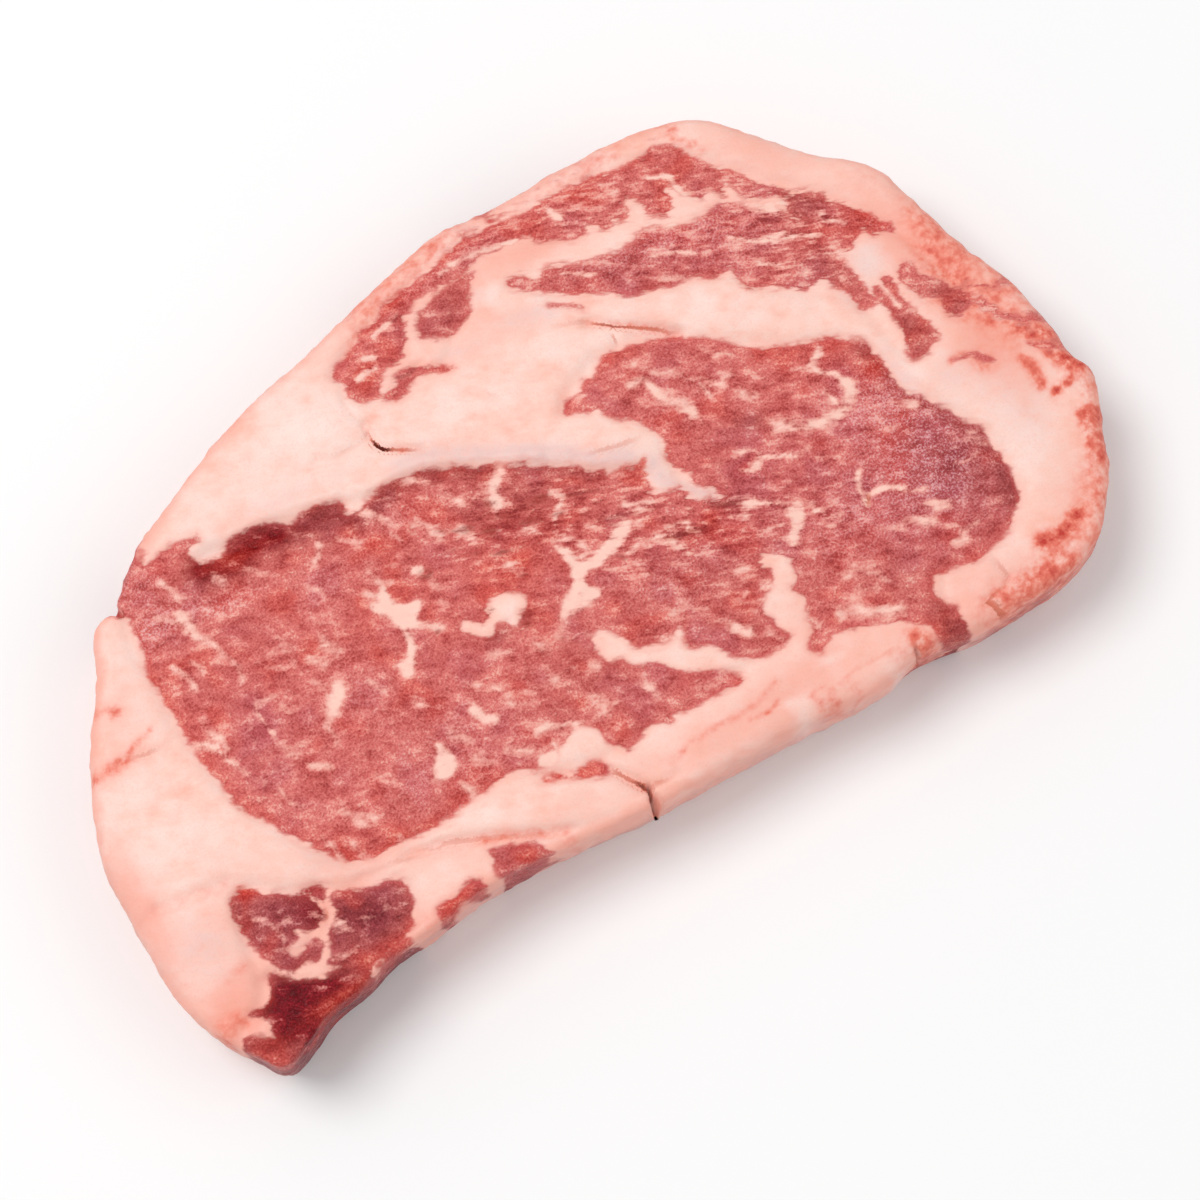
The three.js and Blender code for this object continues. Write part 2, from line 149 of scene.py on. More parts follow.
TAIL_RIGHT = [
    (-68.9, -36.1), (-67.6, -35.1), (-65.3, -35.8), (-63.1, -37.2), (-59.9, -37.9), (-57.8, -38.3),
    (-56, -39.5), (-55.6, -41.1), (-56, -43.6), (-57.1, -45.4), (-58.5, -47.2), (-60.3, -48.6),
    (-63.1, -49.4), (-68.5, -49.9), (-73.4, -47.8), (-74.9, -45.4), (-73.1, -44), (-72.4, -41.9),
    (-71.4, -40.4), (-69.9, -39.7), (-69.2, -37.6),
]
TAIL_FRONT = [
    (-84.9, -41.3), (-83.5, -42.2), (-81.7, -44), (-79.6, -45.1), (-77.4, -46.5), (-74.9, -46.9),
    (-72.4, -46.5), (-69.6, -48.6), (-68.6, -50.4), (-71, -52), (-76, -56), (-86, -60), (-94, -58),
    (-98, -52), (-95.2, -48.6), (-91.7, -50.1), (-89.6, -51.5), (-89.2, -50.1), (-88.1, -48.6),
    (-89.9, -46.9), (-91.2, -45.6), (-87.4, -45.4), (-86, -44),
]
FRONT_RED = [
    (-53.5, -47.2), (-49.4, -47.4), (-45.9, -46.1), (-44.1, -46.9), (-43.5, -48.3), (-44.8, -49.4),
    (-46, -51.5), (-54, -51.5),
]
FRONT_CRIMSON = [
    (-40.1, -43.6), (-37.6, -44.4), (-35.1, -45.3), (-33, -46.5), (-30.9, -47.9), (-29.6, -49.6),
    (-31.9, -51.5), (-36, -51.5), (-41.8, -49), (-40.9, -46.9),
]
FRONT_STREAK = [
    (-25.1, -37.9), (-23.7, -37.4), (-21.9, -38.3), (-19.4, -39.7), (-16.6, -39.4),
    (-14.8, -40.4), (-13.9, -42.2), (-15.1, -43.3), (-17.3, -42.4), (-19.8, -40.8),
    (-22.3, -39.5), (-24.4, -38.6),
]
CAP_BACK = [
    (-18, 46.5), (-16.9, 44.9), (-17.1, 42.1), (-16.2, 40.3), (-13.7, 39.4), (-11.9, 39.2),
    (-10.5, 41.5), (-8.7, 43.1), (-6.6, 42.4), (-5.1, 43.1), (-3, 44.9), (-1.6, 47.8), (-0.1, 49.2),
    (2.5, 51), (6, 51.4), (10, 50.6), (13.5, 51.2), (17, 52.2), (21, 51.6), (25, 51.4),
    (27.7, 50.3), (28.1, 49.2), (30.2, 47.8), (32.7, 46.7), (34.5, 45.6), (37, 45.6), (37.4, 47.1),
    (39.1, 45.6), (39.9, 44.2), (41.3, 44), (42.4, 45.3), (43.1, 43.9), (44.9, 44), (45.6, 45.3),
    (46.3, 46.7), (48.4, 45.3), (48.4, 42.4), (49.9, 41), (51.3, 39.9), (52.7, 41), (55, 45),
    (56.2, 41.5), (58.8, 38.9), (60.8, 40.6), (61.5, 37), (63, 37.6), (64, 40), (65.2, 36),
    (67.5, 33.4), (70.6, 32.8), (71.3, 31.4), (70.5, 28), (72.4, 24), (74, 20.5), (75.6, 16.3),
    (77.4, 16.6), (79.1, 17.7), (80.6, 18.1), (81.6, 16.6), (84.1, 15.6), (85.8, 15.2),
    (85.8, 16.6), (84.5, 18.8), (82.7, 22.1), (81.3, 24.2), (79.9, 26), (78.4, 28.1), (76.6, 29.9),
    (74.9, 31.4), (73.1, 32.4), (71.3, 34.6), (70.6, 36.4), (68.8, 37.8), (67.7, 39.9),
    (65.9, 42.1), (64.1, 44.2), (62.4, 46), (61.3, 48.5), (60.2, 50.6), (58.4, 52.1), (56.3, 53),
    (51.6, 53), (46.6, 53.5), (45.2, 54.6), (39.9, 55.1), (34.1, 55.6), (27.4, 55.6), (23.4, 56.7),
    (19.9, 57.1), (17, 57.3), (11.3, 56), (8.8, 55.3), (4.1, 54.9), (-0.1, 54.4), (-3, 53.7),
    (-5.1, 52.1), (-8.7, 51.9), (-10.1, 50.3), (-14.4, 48.9), (-16.6, 47.8),
]
CAP_HOOK = [
    (-12.3, 37.8), (-8.7, 39.6), (-7.3, 41), (-4.4, 40.8), (-1.9, 39.6), (0.6, 38.1), (2.4, 36),
    (0.6, 36.4), (-1.6, 38.1), (-3.7, 38.3), (-6.2, 37.6), (-8.4, 36.5), (-10.5, 36.7),
]
CAP_ROUND = [
    (-0.1, 45.3), (0.6, 47.1), (2, 48.5), (4.1, 49.4), (7, 50.3), (11, 50.8), (14.9, 50.3),
    (13.4, 48.7), (12, 47.1), (10.9, 45.3), (10.2, 43.5), (8.1, 42.8), (5.9, 42.4), (4.9, 41.9),
    (3.1, 42.3), (1.3, 43.3), (-0.3, 44.2),
]
CAP_LOWER = [
    (19.5, 45.6), (22.7, 44.9), (24.1, 42.4), (26.6, 43.5), (29.1, 42.8), (31.3, 41.4),
    (34.9, 40.3), (38.1, 39.6), (42, 39.2), (47.4, 39.9), (49.9, 38.1), (53.4, 36.7), (57.7, 36.7),
    (61.3, 37.2), (63.5, 35), (66, 33), (69, 31), (71, 28), (73, 24), (74.5, 19.5), (74.1, 16.3),
    (74.5, 13.8), (74.9, 8.8), (75.2, 5.2), (73.1, 4.9), (71.6, 5.6), (71.6, 7.7), (71.3, 10.2),
    (69.9, 12), (69.1, 14), (67, 14.3), (64.9, 13.8), (63.8, 15.4), (61.3, 16.6), (60.2, 18.1),
    (58.1, 18.8), (55.9, 20.6), (55.6, 23.1), (55.9, 25.3), (53.4, 24.9), (50.6, 26), (49.5, 27.1),
    (47, 27.4), (44.1, 28), (42, 29.2), (39.9, 29.9), (37.4, 30.3), (35.6, 31.7), (34.1, 33.5),
    (32, 34.6), (29.1, 36), (26.6, 37.8), (24.1, 39.9), (21.3, 42.1), (19.1, 44.2),
]
CAP_END = [
    (75.2, 7.7), (77, 8.1), (77.4, 6.6), (77.7, 8.4), (79.1, 8.8), (79.9, 7.7), (79.5, 4.9),
    (79.7, 2), (79.9, -0.9), (80.9, -3.7), (80.9, -6.6), (79.1, -7.6), (76.6, -8.7), (74.1, -8.4),
    (73.8, -7.3), (75.2, -4.4), (75.6, -1.2), (75.6, 4.9),
]
CAP_OUTER = [
    (80.9, 7), (82.4, 8.8), (84.1, 8.3), (84.9, 5.9), (85.9, 4.9), (86.3, 3.1), (87.7, 1.6),
    (88.8, -0.1), (90.2, -1.6), (89.9, -4.4), (86.6, -5.9), (84.9, -5.1), (84.5, -3),
    (85.2, -0.9), (83.8, 0.6), (82.4, 1.6), (82, 3.4), (81.3, 5.2),
]
MUSCLES = [
    EYE, TAIL_UPPER, TAIL_STRIP, TAIL_RIGHT, TAIL_FRONT, FRONT_RED, FRONT_CRIMSON, FRONT_STREAK,
    CAP_BACK, CAP_HOOK, CAP_ROUND, CAP_LOWER, CAP_END, CAP_OUTER,
]
# Thin threads of lean inside the fat: width, then the line.
LEAN_THREADS = [
    (1.3, [(17, 54.2), (22, 53.1), (25.2, 52.4)]),
    (0.7, [(23.4, 37.1), (26.6, 34.9), (28.4, 33.5)]),
    (0.9, [(91, -1), (95, -4)]),
    (1.4, [(91, -5), (93, -9), (95.5, -12), (97.5, -14)]),
    (1.6, [(84.6, -13.8), (85.5, -14.8), (86.4, -15.8)]),
    (0.6, [(80, -12), (84, -13)]),
    (0.8, [(94, -17), (97, -19)]),
]
# One crisp chunk of fat that stands proud of the lean.
CHUNK = [
    (-16.9, -5.5), (-15.1, -4.8), (-13.4, -5.1), (-10.1, -7.6), (-10.5, -9.1), (-12.6, -10.1),
    (-14.3, -12.3), (-15.1, -11.9), (-15.5, -9.8), (-16.9, -9.3), (-18.4, -10.1), (-19.8, -10),
    (-21.6, -8.4), (-23, -6.6), (-21.9, -5.7), (-20.5, -6.6), (-19.4, -8), (-17.6, -7.3),
]
# Marbling with a shape of its own, as loops: strength, then the loop.
MARBLE_LOOPS = [
    (1.35, [(-34.5, 5.5), (-32.5, 5.5), (-31.8, 7.5), (-30.8, 7.5), (-31, 4.5), (-29.8, 3),
            (-28.5, 2.5), (-26.5, 2), (-27.5, 0.3), (-30, -1.8), (-31.2, -1.2), (-31.3, -3),
            (-32.2, -5.5), (-33.5, -7.5), (-35, -9), (-36.5, -7.5), (-36, -6.3), (-34, -6),
            (-32.8, -4), (-32.4, -1), (-32.8, 2), (-33.8, 3.8)]),
    (1.35, [(-0.3, -3), (1.3, -4), (1.3, -7), (2.5, -8), (6, -7.7), (9, -6.5), (12, -5.3),
            (13.3, -6), (12, -8), (9.5, -9), (7.5, -9.6), (4, -9.8), (1.5, -10.2), (0.4, -12),
            (1.6, -14.5), (0, -15.2), (-3, -15.3), (-7, -14.8), (-5.5, -13), (-4, -11.7),
            (-1.6, -10.6), (-0.9, -9), (-0.2, -6.5)]),
    (1.3, [(-37.8, -22.2), (-36.6, -24.4), (-36.8, -26.5), (-37.6, -27.9), (-39.8, -28.5),
           (-41.4, -27.6), (-40.9, -26.1), (-39.4, -24.4)]),
    (1.1, [(39.1, -19), (41.3, -20.4), (40.6, -23.3), (38.4, -24.4), (37, -26.1), (35.9, -25.8),
           (36.3, -24), (38.1, -22.2)]),
    (1.2, [(-24.5, -35), (-22.5, -34.3), (-20.5, -34.8), (-20.7, -36.4), (-23, -36.8)]),
]
# Veins of fat in the lean: strength, width, then the line.
VEINS = [
    (1.15, 1.7, [(-29, -20.5), (-28.2, -22.3), (-26.8, -24)]),
    (1.1, 1.9, [(-1.5, 14.8), (-3.5, 13), (-4.6, 11.2), (-5.2, 9.8)]),
    (1.3, 1.3, [(-24.4, 7.3), (-23.3, 6.9)]),
    (0.85, 2.4, [(-45.1, 4.6), (-44.5, 3.5), (-43.9, 2.2)]),
    (1.1, 2.4, [(-47.3, -3.7), (-49, -5.4), (-50.2, -6.4)]),
    (0.85, 1.7, [(-51.2, -7.3), (-52.6, -8.6)]),
    (0.8, 1.4, [(-56.2, -15.5), (-57.6, -14.4)]),
    (0.9, 1.4, [(-36.2, 20.9), (-37.4, 19.4), (-38.7, 18.4)]),
    (1.1, 2.6, [(-64.6, 22.6), (-64.3, 20.4)]),
    (0.95, 1.4, [(-64.3, 20.6), (-64.1, 18), (-62.3, 16), (-61.7, 13)]),
    (0.75, 1.2, [(-61.7, 13), (-60.8, 10), (-61, 7)]),
    (0.9, 1.2, [(-70.5, 15.5), (-69.3, 13), (-69, 10)]),
    (0.8, 1.2, [(-67.4, 14.6), (-66.2, 12)]),
    (0.95, 1.5, [(-74.6, 0.9), (-73, 0), (-71.8, -1.6)]),
    (0.85, 1.1, [(-71.8, -1.6), (-70.9, -4.4), (-70.1, -6.8), (-69.2, -8.7)]),
    (0.7, 1, [(-66, -14), (-65.4, -17), (-64.2, -19)]),
    (0.75, 1.2, [(-31.5, 11.6), (-31, 9), (-31.6, 6.5)]),
    (0.75, 1, [(-58, 1), (-61.5, 1.4), (-62, -1.6), (-61.6, -5)]),
    (1, 1.6, [(27.4, 15.6), (29, 15.6), (30.2, 15.2), (30.6, 12.7), (30.9, 10.2), (32.4, 8.8)]),
    (1.1, 2, [(32.4, 8.8), (33.8, 7), (34.5, 5.9), (34.3, 5)]),
    (0.85, 1, [(38.4, 9.1), (38.8, 6.3)]),
    (0.8, 1.2, [(4.2, 6.5), (5.8, 4.5)]),
    (0.75, 1.1, [(5.8, 4.5), (2.5, 2), (1, -0.3)]),
    (0.7, 1.1, [(35.4, -8.8), (37, -9.6), (39.4, -9.1), (40.2, -7.4), (38.4, -6.2), (36.4, -6.4)]),
    (0.9, 0.9, [(40.2, -8.2), (41.5, -9.2), (44, -10.5), (46, -12)]),
    (0.9, 2.3, [(45.6, -5.2), (48.3, -6.2)]),
    (0.9, 1.6, [(48.3, -6.2), (50.4, -8), (52.4, -8.9)]),
    (1.05, 2.1, [(61.2, -4.6), (61.6, -5.9), (60.5, -7.6), (58.4, -8.9), (55.9, -9.2),
                 (53.4, -8.9)]),
    (0.95, 1.2, [(57.8, 1), (58.4, -0.6), (60.4, -2.4), (61.2, -4.6)]),
    (0.85, 0.9, [(57, -4.4), (57.7, -6.6), (57.6, -8.2)]),
    (0.95, 1.6, [(57.7, 1.2), (59.4, 2.2), (61, 3)]),
    (1, 1, [(20, -10.8), (22.2, -12)]),
    (0.95, 1.1, [(16, -11.2), (17, -11.9)]),
    (0.9, 0.9, [(9.6, -10.4), (10.9, -11), (12.2, -10.9)]),
    (0.95, 1.2, [(33.2, -14.5), (35.6, -15.9), (38.1, -17.6), (39.1, -19)]),
    (0.9, 1, [(43, -22.4), (44.4, -23.4)]),
    (1.05, 1.1, [(54, -20.4), (52.9, -21.9), (52.2, -24.2), (52, -26.4)]),
    (1.1, 1.3, [(53.6, -24.9), (56.3, -25.6), (57.6, -26.4), (59.3, -27.8)]),
    (0.85, 2, [(56.2, -32.6), (59, -34.6), (60.2, -35.8)]),
    (0.85, 1, [(63.6, -40), (65.6, -40.1), (67.2, -39.9)]),
    (0.95, 1.8, [(61.6, -41), (63.4, -41.4)]),
    (0.9, 2.2, [(36.5, -40.5), (40, -42.5), (44, -45), (46.4, -46.2)]),
    (0.95, 2.4, [(19.2, -33.2), (20.6, -34.8)]),
    (1.05, 1.4, [(-21.6, -30.1), (-19.1, -30.4), (-17.3, -31.5), (-15.1, -32.2), (-15, -34),
                 (-13.7, -36.1)]),
    (0.9, 1.1, [(-20.3, -33.1), (-19.8, -35.1)]),
    (0.9, 1.1, [(52.4, 48.1), (55.6, 46.7), (55.9, 43.1), (56.6, 40.3)]),
    (1, 1.5, [(33.4, 52.8), (34.2, 50.8)]),
    (0.95, 2.2, [(65.6, 33), (67.5, 31.4), (70.2, 30.8)]),
    (0.9, 1.6, [(65.5, 25.8), (68, 24.8), (70.4, 23.4), (72.7, 21.7)]),
    (0.9, 1.6, [(50, 38.4), (54, 38), (58, 38.6), (62, 38.2)]),
    (0.95, 1.1, [(9.4, 53), (13, 53.6), (17, 53.2), (20.4, 52.6), (25, 51.2)]),
    (0.85, 0.8, [(-7.4, 49.4), (-4.4, 50), (-1.4, 50.6)]),
    (0.9, 1.1, [(-14.4, 43.4), (-12.3, 44.4), (-10.2, 44)]),
    (0.85, 0.9, [(-11, 46.6), (-9.2, 45.6)]),
    (0.85, 0.9, [(28.4, 41.2), (32, 38.8), (34, 37.6)]),
    (0.85, 1, [(44.2, 34.6), (48.5, 33.4), (51.5, 31)]),
    (0.85, 0.9, [(58.5, 30.6), (62, 27.4), (64.6, 26.4)]),
    (0.85, 0.9, [(60.6, 23), (63.6, 20.8)]),
    (0.95, 1.4, [(75.6, 24.4), (78.4, 21.2)]),
    (0.9, 1, [(77.4, 7.6), (77.6, 5.2), (77.9, 2.4)]),
    (0.62, 0.9, [(-79.6, -34.6), (-79, -37.4), (-80.6, -39.4)]),
    (0.5, 0.9, [(-82.2, -31.4), (-80.6, -32.4)]),
    (0.5, 0.8, [(-77.6, -33.2), (-76.4, -35)]),
    (0.8, 1.1, [(-81.4, -38.4), (-78.4, -39.6), (-75.4, -39.5)]),
    (0.6, 0.8, [(-78.6, -41.4), (-76.8, -42.6), (-77.6, -43.6)]),
    (0.55, 1, [(-73.6, -45), (-71, -46), (-69, -45.6)]),
    (0.45, 1.2, [(-65.2, -42.2), (-62.2, -43), (-60.6, -42.2)]),
]
# Clouds of fine marbling: x, y, half-length, half-width, turn, strength.
CLOUDS = [
    (-31, 11, 2.4, 3.8, 0, 0.42), (-10, -34, 4.5, 3, 0, 0.55), (-12.6, -17.3, 1.8, 2.6, 0, 0.75),
    (-7.5, -16.6, 2.6, 1.4, 20, 0.5), (-34, -16.5, 2, 1.6, 30, 0.5), (-20, -19, 2.2, 1.6, 0, 0.45),
    (-13.6, -23.5, 1.3, 1.1, 0, 0.75), (-9.8, -23.5, 1.1, 0.9, 0, 0.75),
    (-6, -25.6, 1.3, 1.1, 0, 0.75), (-26.4, -17, 1.4, 2.6, 40, 0.55), (-71, 3, 1.6, 1.8, 0, 0.5),
    (-61.5, 1, 1.8, 1.5, 0, 0.5), (65.6, -9.1, 1.6, 1.2, 0, 0.5), (25.2, -24.4, 2.2, 1.6, 0, 0.5),
    (24.8, -27.6, 1.6, 1.6, 0, 0.5), (16.3, -26.9, 2.4, 1.6, 0, 0.5), (11.6, -25.4, 2, 1.6, 0, 0.4),
    (5.2, -24.7, 1.8, 1.4, 0, 0.4), (36, -20, 5, 4, -40, 0.36), (33, -13, 4, 2, -30, 0.3),
    (-24, -31, 11, 3.4, -8, 0.2), (-14, -35, 5, 4, 0, 0.55), (62, 28, 9, 7, -35, 0.26),
    (54, 32, 6, 4, -20, 0.2), (66, 22, 5, 5, 0, 0.2), (44, -16, 5, 3, -30, 0.2),
    (-80, -35, 5, 6, 0, 0.12), (-77, -42, 3, 2.4, 0, 0.3), (8, -33, 3, 2, 0, 0.25),
    (20, -24, 5, 2.4, 0, 0.2), (0, 51, 6, 2, 0, 0.2), (-11, 45, 4, 3, 0, 0.12),
    (2, 2, 4, 3, 0, 0.1), (60, -31, 8, 5, -20, 0.1), (-64, 21, 2, 3, 0, 0.3),
    (30, -16, 5, 2, -30, 0.2), (14, 54, 18, 4, 4, 0.24), (42, 50, 16, 6, -3, 0.3),
    (60, 36, 12, 9, -35, 0.3), (34, 38, 14, 5, -15, 0.2), (72, 18, 6, 12, 20, 0.24),
    (-9, 48, 8, 4, 20, 0.1), (6, 46, 5, 4, 0, 0.16), (-66, 12, 6, 10, 0, 0.14),
    (62, -20, 12, 16, 0, 0.12), (-46, 0, 10, 10, 0, 0.1), (-20, -26, 16, 8, 0, 0.16),
    (30, 14, 12, 6, -20, 0.1), (-56, -14, 12, 12, 0, 0.12),
]

# Short pale threads scattered over the eye muscle: how many, and the plan box they lie in.
WISP_COUNT = 210
WISP_CORNER, WISP_SPAN = (-72, -40), (150, 70)

# ---------------------------------------------------------------- tones
# Soft patches of tone: x, y, half-length, half-width, turn and strength.
TONES = {
    # deep maroon of the tail, and painted shade along creases, along the eye muscle's edges under
    # the fat and below the proud chunk
    "maroon_and_shade": [
        (-86, -51, 10, 5, -20, 1.1), (-84, -45, 6, 4, -20, 0.7), (-76, -50.5, 9, 4, -5, 1),
        (-64, -42, 9, 6, -12, 0.76), (-77, -34, 8, 7, -40, 0.6), (-72.5, -36, 2.4, 4, 20, 0.4),
        (-83, -31, 2, 6, 0, 0.3), (-50, 27, 8, 3, -6, 0.75), (-33, 22.5, 8, 3, -12, 0.3),
        (-5, 9, 11, 6, -25, 0.2), (70, -30, 8, 10, 15, 0.34), (52, -52, 3.4, 5, 0, 0.5),
        (-11.6, -10.9, 2.2, 1.2, 0, 0.6), (-17.5, -11.3, 2.4, 1.5, 0, 0.5), (77, -4, 4, 5, 0, 0.35),
        (86, -1, 4, 5, -40, 0.35), (74, 29, 4, 4, -40, 0.35), (42.5, -2, 3, 1.6, -20, 0.45),
        (14, 7, 6, 2.6, -35, 0.2), (38, 36, 12, 3, -25, 0.1), (6, 46, 6, 4, 0, 0.2),
        (-2, 5, 12, 7, -25, 0.14), (24, -32, 10, 6, -10, 0.12), (48, -40, 6, 5, 0, 0.15),
        (-36, -47, 6, 3, -20, 0.25), (-10, -26, 12, 6, 0, 0.12), (20, -20, 12, 6, -20, 0.1),
        (71, 14, 4, 8, 20, 0.2),
    ],
    # cooler, more purple lean
    "violet": [
        (64, -30, 14, 13, 0, 0.7), (40, -10, 14, 7, 0, 0.3), (28, -18, 20, 6, -15, 0.35),
        (-62, 0, 5, 7, 0, 0.3), (-64, -6, 8, 9, 0, 0.25), (-64, -41, 9, 6, 0, 0.75),
        (-78, -35, 8, 8, 0, 0.8), (-82, -46, 6, 3, 0, 0.3), (50, 34, 16, 6, -30, 0.3),
        (3, 46, 8, 5, 0, 0.3), (34, 34, 10, 4, -30, 0.25), (8, -34, 8, 5, 0, 0.3),
        (-28, -28, 12, 6, 0, 0.2), (-36, -46, 6, 2.6, -20, 0.5),
    ],
    # warm, bright red lean
    "warm": [
        (-62, 32, 4, 2.4, 10, 0.3), (-50, 27, 8, 3, -6, 0.7), (-60, -30, 10, 4, -25, 0.4),
        (-73, 0, 3, 20, 0, 0.3), (-31, 19.5, 2.4, 2, 0, 0.8), (-28.5, 16, 2, 1.8, 0, 0.6),
        (67, -5.5, 3, 2.6, 0, 1.2), (26, -13, 2.2, 1.6, 0, 0.9), (-36, 3, 4, 6, 0, 0.4),
        (-8, -5, 14, 8, 0, 0.3), (64, 3, 5, 2, 0, 0.6), (60, 1, 9, 4, -20, 0.3),
        (-12, 44, 6, 4, 0, 0.3), (10, 55.5, 16, 2, 5, 0.7), (50, 54, 16, 2, 0, 0.6),
        (83, 20, 3, 5, 30, 0.8), (-49, -48.5, 5, 2, 0, 1.6), (-34, -49, 5, 1.6, -20, 0.7),
        (-19.5, -40, 7, 2.6, -30, 1), (-75, -52, 8, 1.6, 0, 0.9), (-81, -26, 3, 1.6, -30, 1),
        (-64, -48.6, 6, 1.6, 0, 0.9), (-70, -32.5, 3, 2, -30, 0.6), (48, -54, 3, 4, 0, 1),
        (37, -9, 1.6, 1.2, 0, 1), (-6, 3, 12, 6, -20, 0.4), (22, -14, 8, 3, -20, 0.3),
        (74, 22, 4, 2, 0, 0.7),
    ],
    # pink flush in the fat
    "flush": [
        (-95, -44, 7, 7, 0, 0.7), (-82, 12, 8, 9, 45, 0.35), (-99.5, -16, 4.5, 16, 0, 1.4),
        (-90, -30, 6, 5, 0, 0.25), (-90, 5, 6, 3, 0, 0.5), (-80, -24, 8, 4, 0, 0.3),
        (-88, -40, 8, 4, 20, 0.5), (-90, -50, 6, 6, 0, 0.6), (-62, -35.5, 10, 1.8, 12, 0.4),
        (-45, -40, 14, 3, -20, 0.35), (-60, -48, 14, 3, 0, 0.6), (10, -49, 34, 5, -4, 0.6),
        (26, -46, 14, 4, 0, 0.4), (60, -50, 16, 6, 0, 0.6), (86, -46, 9, 7, 40, 0.5),
        (91, -8, 7, 16, 0, 0.75), (86, 14, 7, 14, 10, 0.8), (74, 42, 6, 10, 40, 0.6),
        (12, 40, 8, 4, -20, 0.4), (0, 38, 9, 2.4, -15, 0.3), (28, 47.5, 10, 3, -12, 0.5),
        (84, -10, 6, 8, 0, 0.4), (86, -17, 7, 5, 0, 0.5), (-72, -40, 12, 10, 0, 0.6),
        (36, 26.5, 8, 2, -38, 0.3), (30, -40, 3, 6, 0, 0.5), (-10, 25.6, 8, 1.6, -30, 0.3),
        (62, 30, 14, 10, -35, 0.6), (78, 14, 5, 4, 0, 0.3), (-11, 46, 8, 8, 20, 0.5),
        (10, 50, 16, 6, 0, 0.5), (40, 50, 18, 5, -5, 0.4),
    ],
    # thin silver skin over the fat
    "silver": [
        (-40, 31.5, 12, 2.2, -8, 0.4), (71, -9, 1.6, 7, 0, 0.6), (78, -14, 5, 4, 0, 0.35),
        (-66, -29, 5, 3, -40, 0.4), (86, -26, 6, 8, 0, 0.35), (-92, -31, 5, 6, 0, 0.5),
        (20, 36.8, 5, 2, -20, 0.6), (5, 38.4, 5, 1.5, -15, 0.4), (72, 10, 3, 3.6, 0, 0.5),
        (12.4, 46.6, 2.6, 2.4, 0, 0.3), (78, 12.6, 3.4, 3.4, 0, 0.5),
    ],
    # thick, clean fat
    "pale": [
        (78.5, 13.2, 3, 4, 0, 0.9), (15.4, 44.8, 2.6, 2.4, 0, 0.8), (-25, 41, 12, 6, 0, 0.9),
        (-86, -8, 8, 14, 0, 0.15), (34, 28, 12, 3.4, -12, 0.5), (50, 20, 12, 4, -35, 0.4),
        (82, -24, 5, 10, 0, 0.45), (-6, 30, 12, 5, -8, 0.3), (52, -47, 8, 2.4, -8, 0.4),
        (40, -53, 2, 1, 0, 0.8), (20, -50, 3, 1, -20, 0.7), (30, -47, 3, 1, -10, 0.5),
        (-36, -38.6, 12, 2, -12, 0.4), (71, -46, 4, 3, 0, 0.4), (53, -56, 2, 2, 0, 0.7),
        (28, 58.8, 13, 1.6, 2, 0.9),
    ],
    # blood that has soaked the fat
    "blood": [
        (-88, 5.2, 3.6, 1.4, 0, 0.7), (-83.5, 14, 1.6, 1.5, 0, 0.55),
        (-93, -45.6, 3.4, 2, -20, 0.4), (-97, -46, 2, 3, 20, 0.5), (85, -15, 2, 2.2, 0, 0.85),
        (46, -52.5, 2.6, 3, 0, 0.8), (-52, -48.5, 7, 1.8, 0, 0.35), (20, -55, 4, 1.4, 0, 0.35),
        (-14, 27.8, 3, 1, -30, 0.4), (92.4, -8, 4.6, 12, 15, 0.62), (75, 27, 4, 3, 0, 0.3),
        (84, 3, 4, 6, 20, 0.3), (90, 8, 4, 7, 10, 0.45), (88, -2, 4, 5, 0, 0.35),
        (99, -30, 2, 7, 0, 0.4), (90.5, -43.6, 4, 3, 40, 0.5), (70, -55, 9, 2.6, 4, 0.3),
        (84, -50, 5, 3, 30, 0.4), (66, 47, 3, 4, 40, 0.12), (86, 26, 3, 6, 30, 0.16),
        (91, 16, 3, 6, 10, 0.3),
    ],
    # painted highlights: fine pale glints where the cut lean catches the light
    "painted_glints": [
        (-67, 24, 6, 3, -6, 0.9), (-56, 20.6, 6, 2, -8, 0.8), (-72, 22, 3, 4, 0, 0.6),
        (64, -12, 10, 7, -30, 0.8), (68, -24, 8, 10, 0, 0.8), (58, -28, 12, 8, -20, 0.7),
        (40, 38, 14, 5, -12, 0.5), (58, 32, 10, 6, -30, 0.5), (34, 10, 8, 6, 0, 0.3),
        (-40, 14, 6, 5, 0, 0.3), (-20, 18, 8, 4, -20, 0.3), (-46, -6, 8, 6, 0, 0.3),
        (14, -20, 12, 6, -20, 0.3), (-36, -24, 16, 8, 0, 0.3), (42, -28, 10, 8, 0, 0.3),
        (86, 18, 4, 8, 30, 0.4), (-67, 31, 5, 3, 10, 0.6), (10, 54, 14, 2, 4, 0.4),
    ],
    # streaks along the fibres
    "streaks": [
        (42, 44, 36, 16, -15, 0.8), (70, 22, 16, 14, -30, 0.8), (-2, 5, 20, 10, -25, 0.9),
        (28, -16, 24, 10, -25, 0.7), (-10, 46, 10, 8, 20, 0.5), (92, -8, 8, 16, 20, 0.7),
        (70, -54, 16, 5, 5, 0.7), (50, -4, 26, 20, -20, 0.35), (-70, -34, 14, 10, 0, 0.4),
        (10, -22, 20, 12, -20, 0.3), (-40, 0, 26, 30, 0, 0.2),
    ],
}
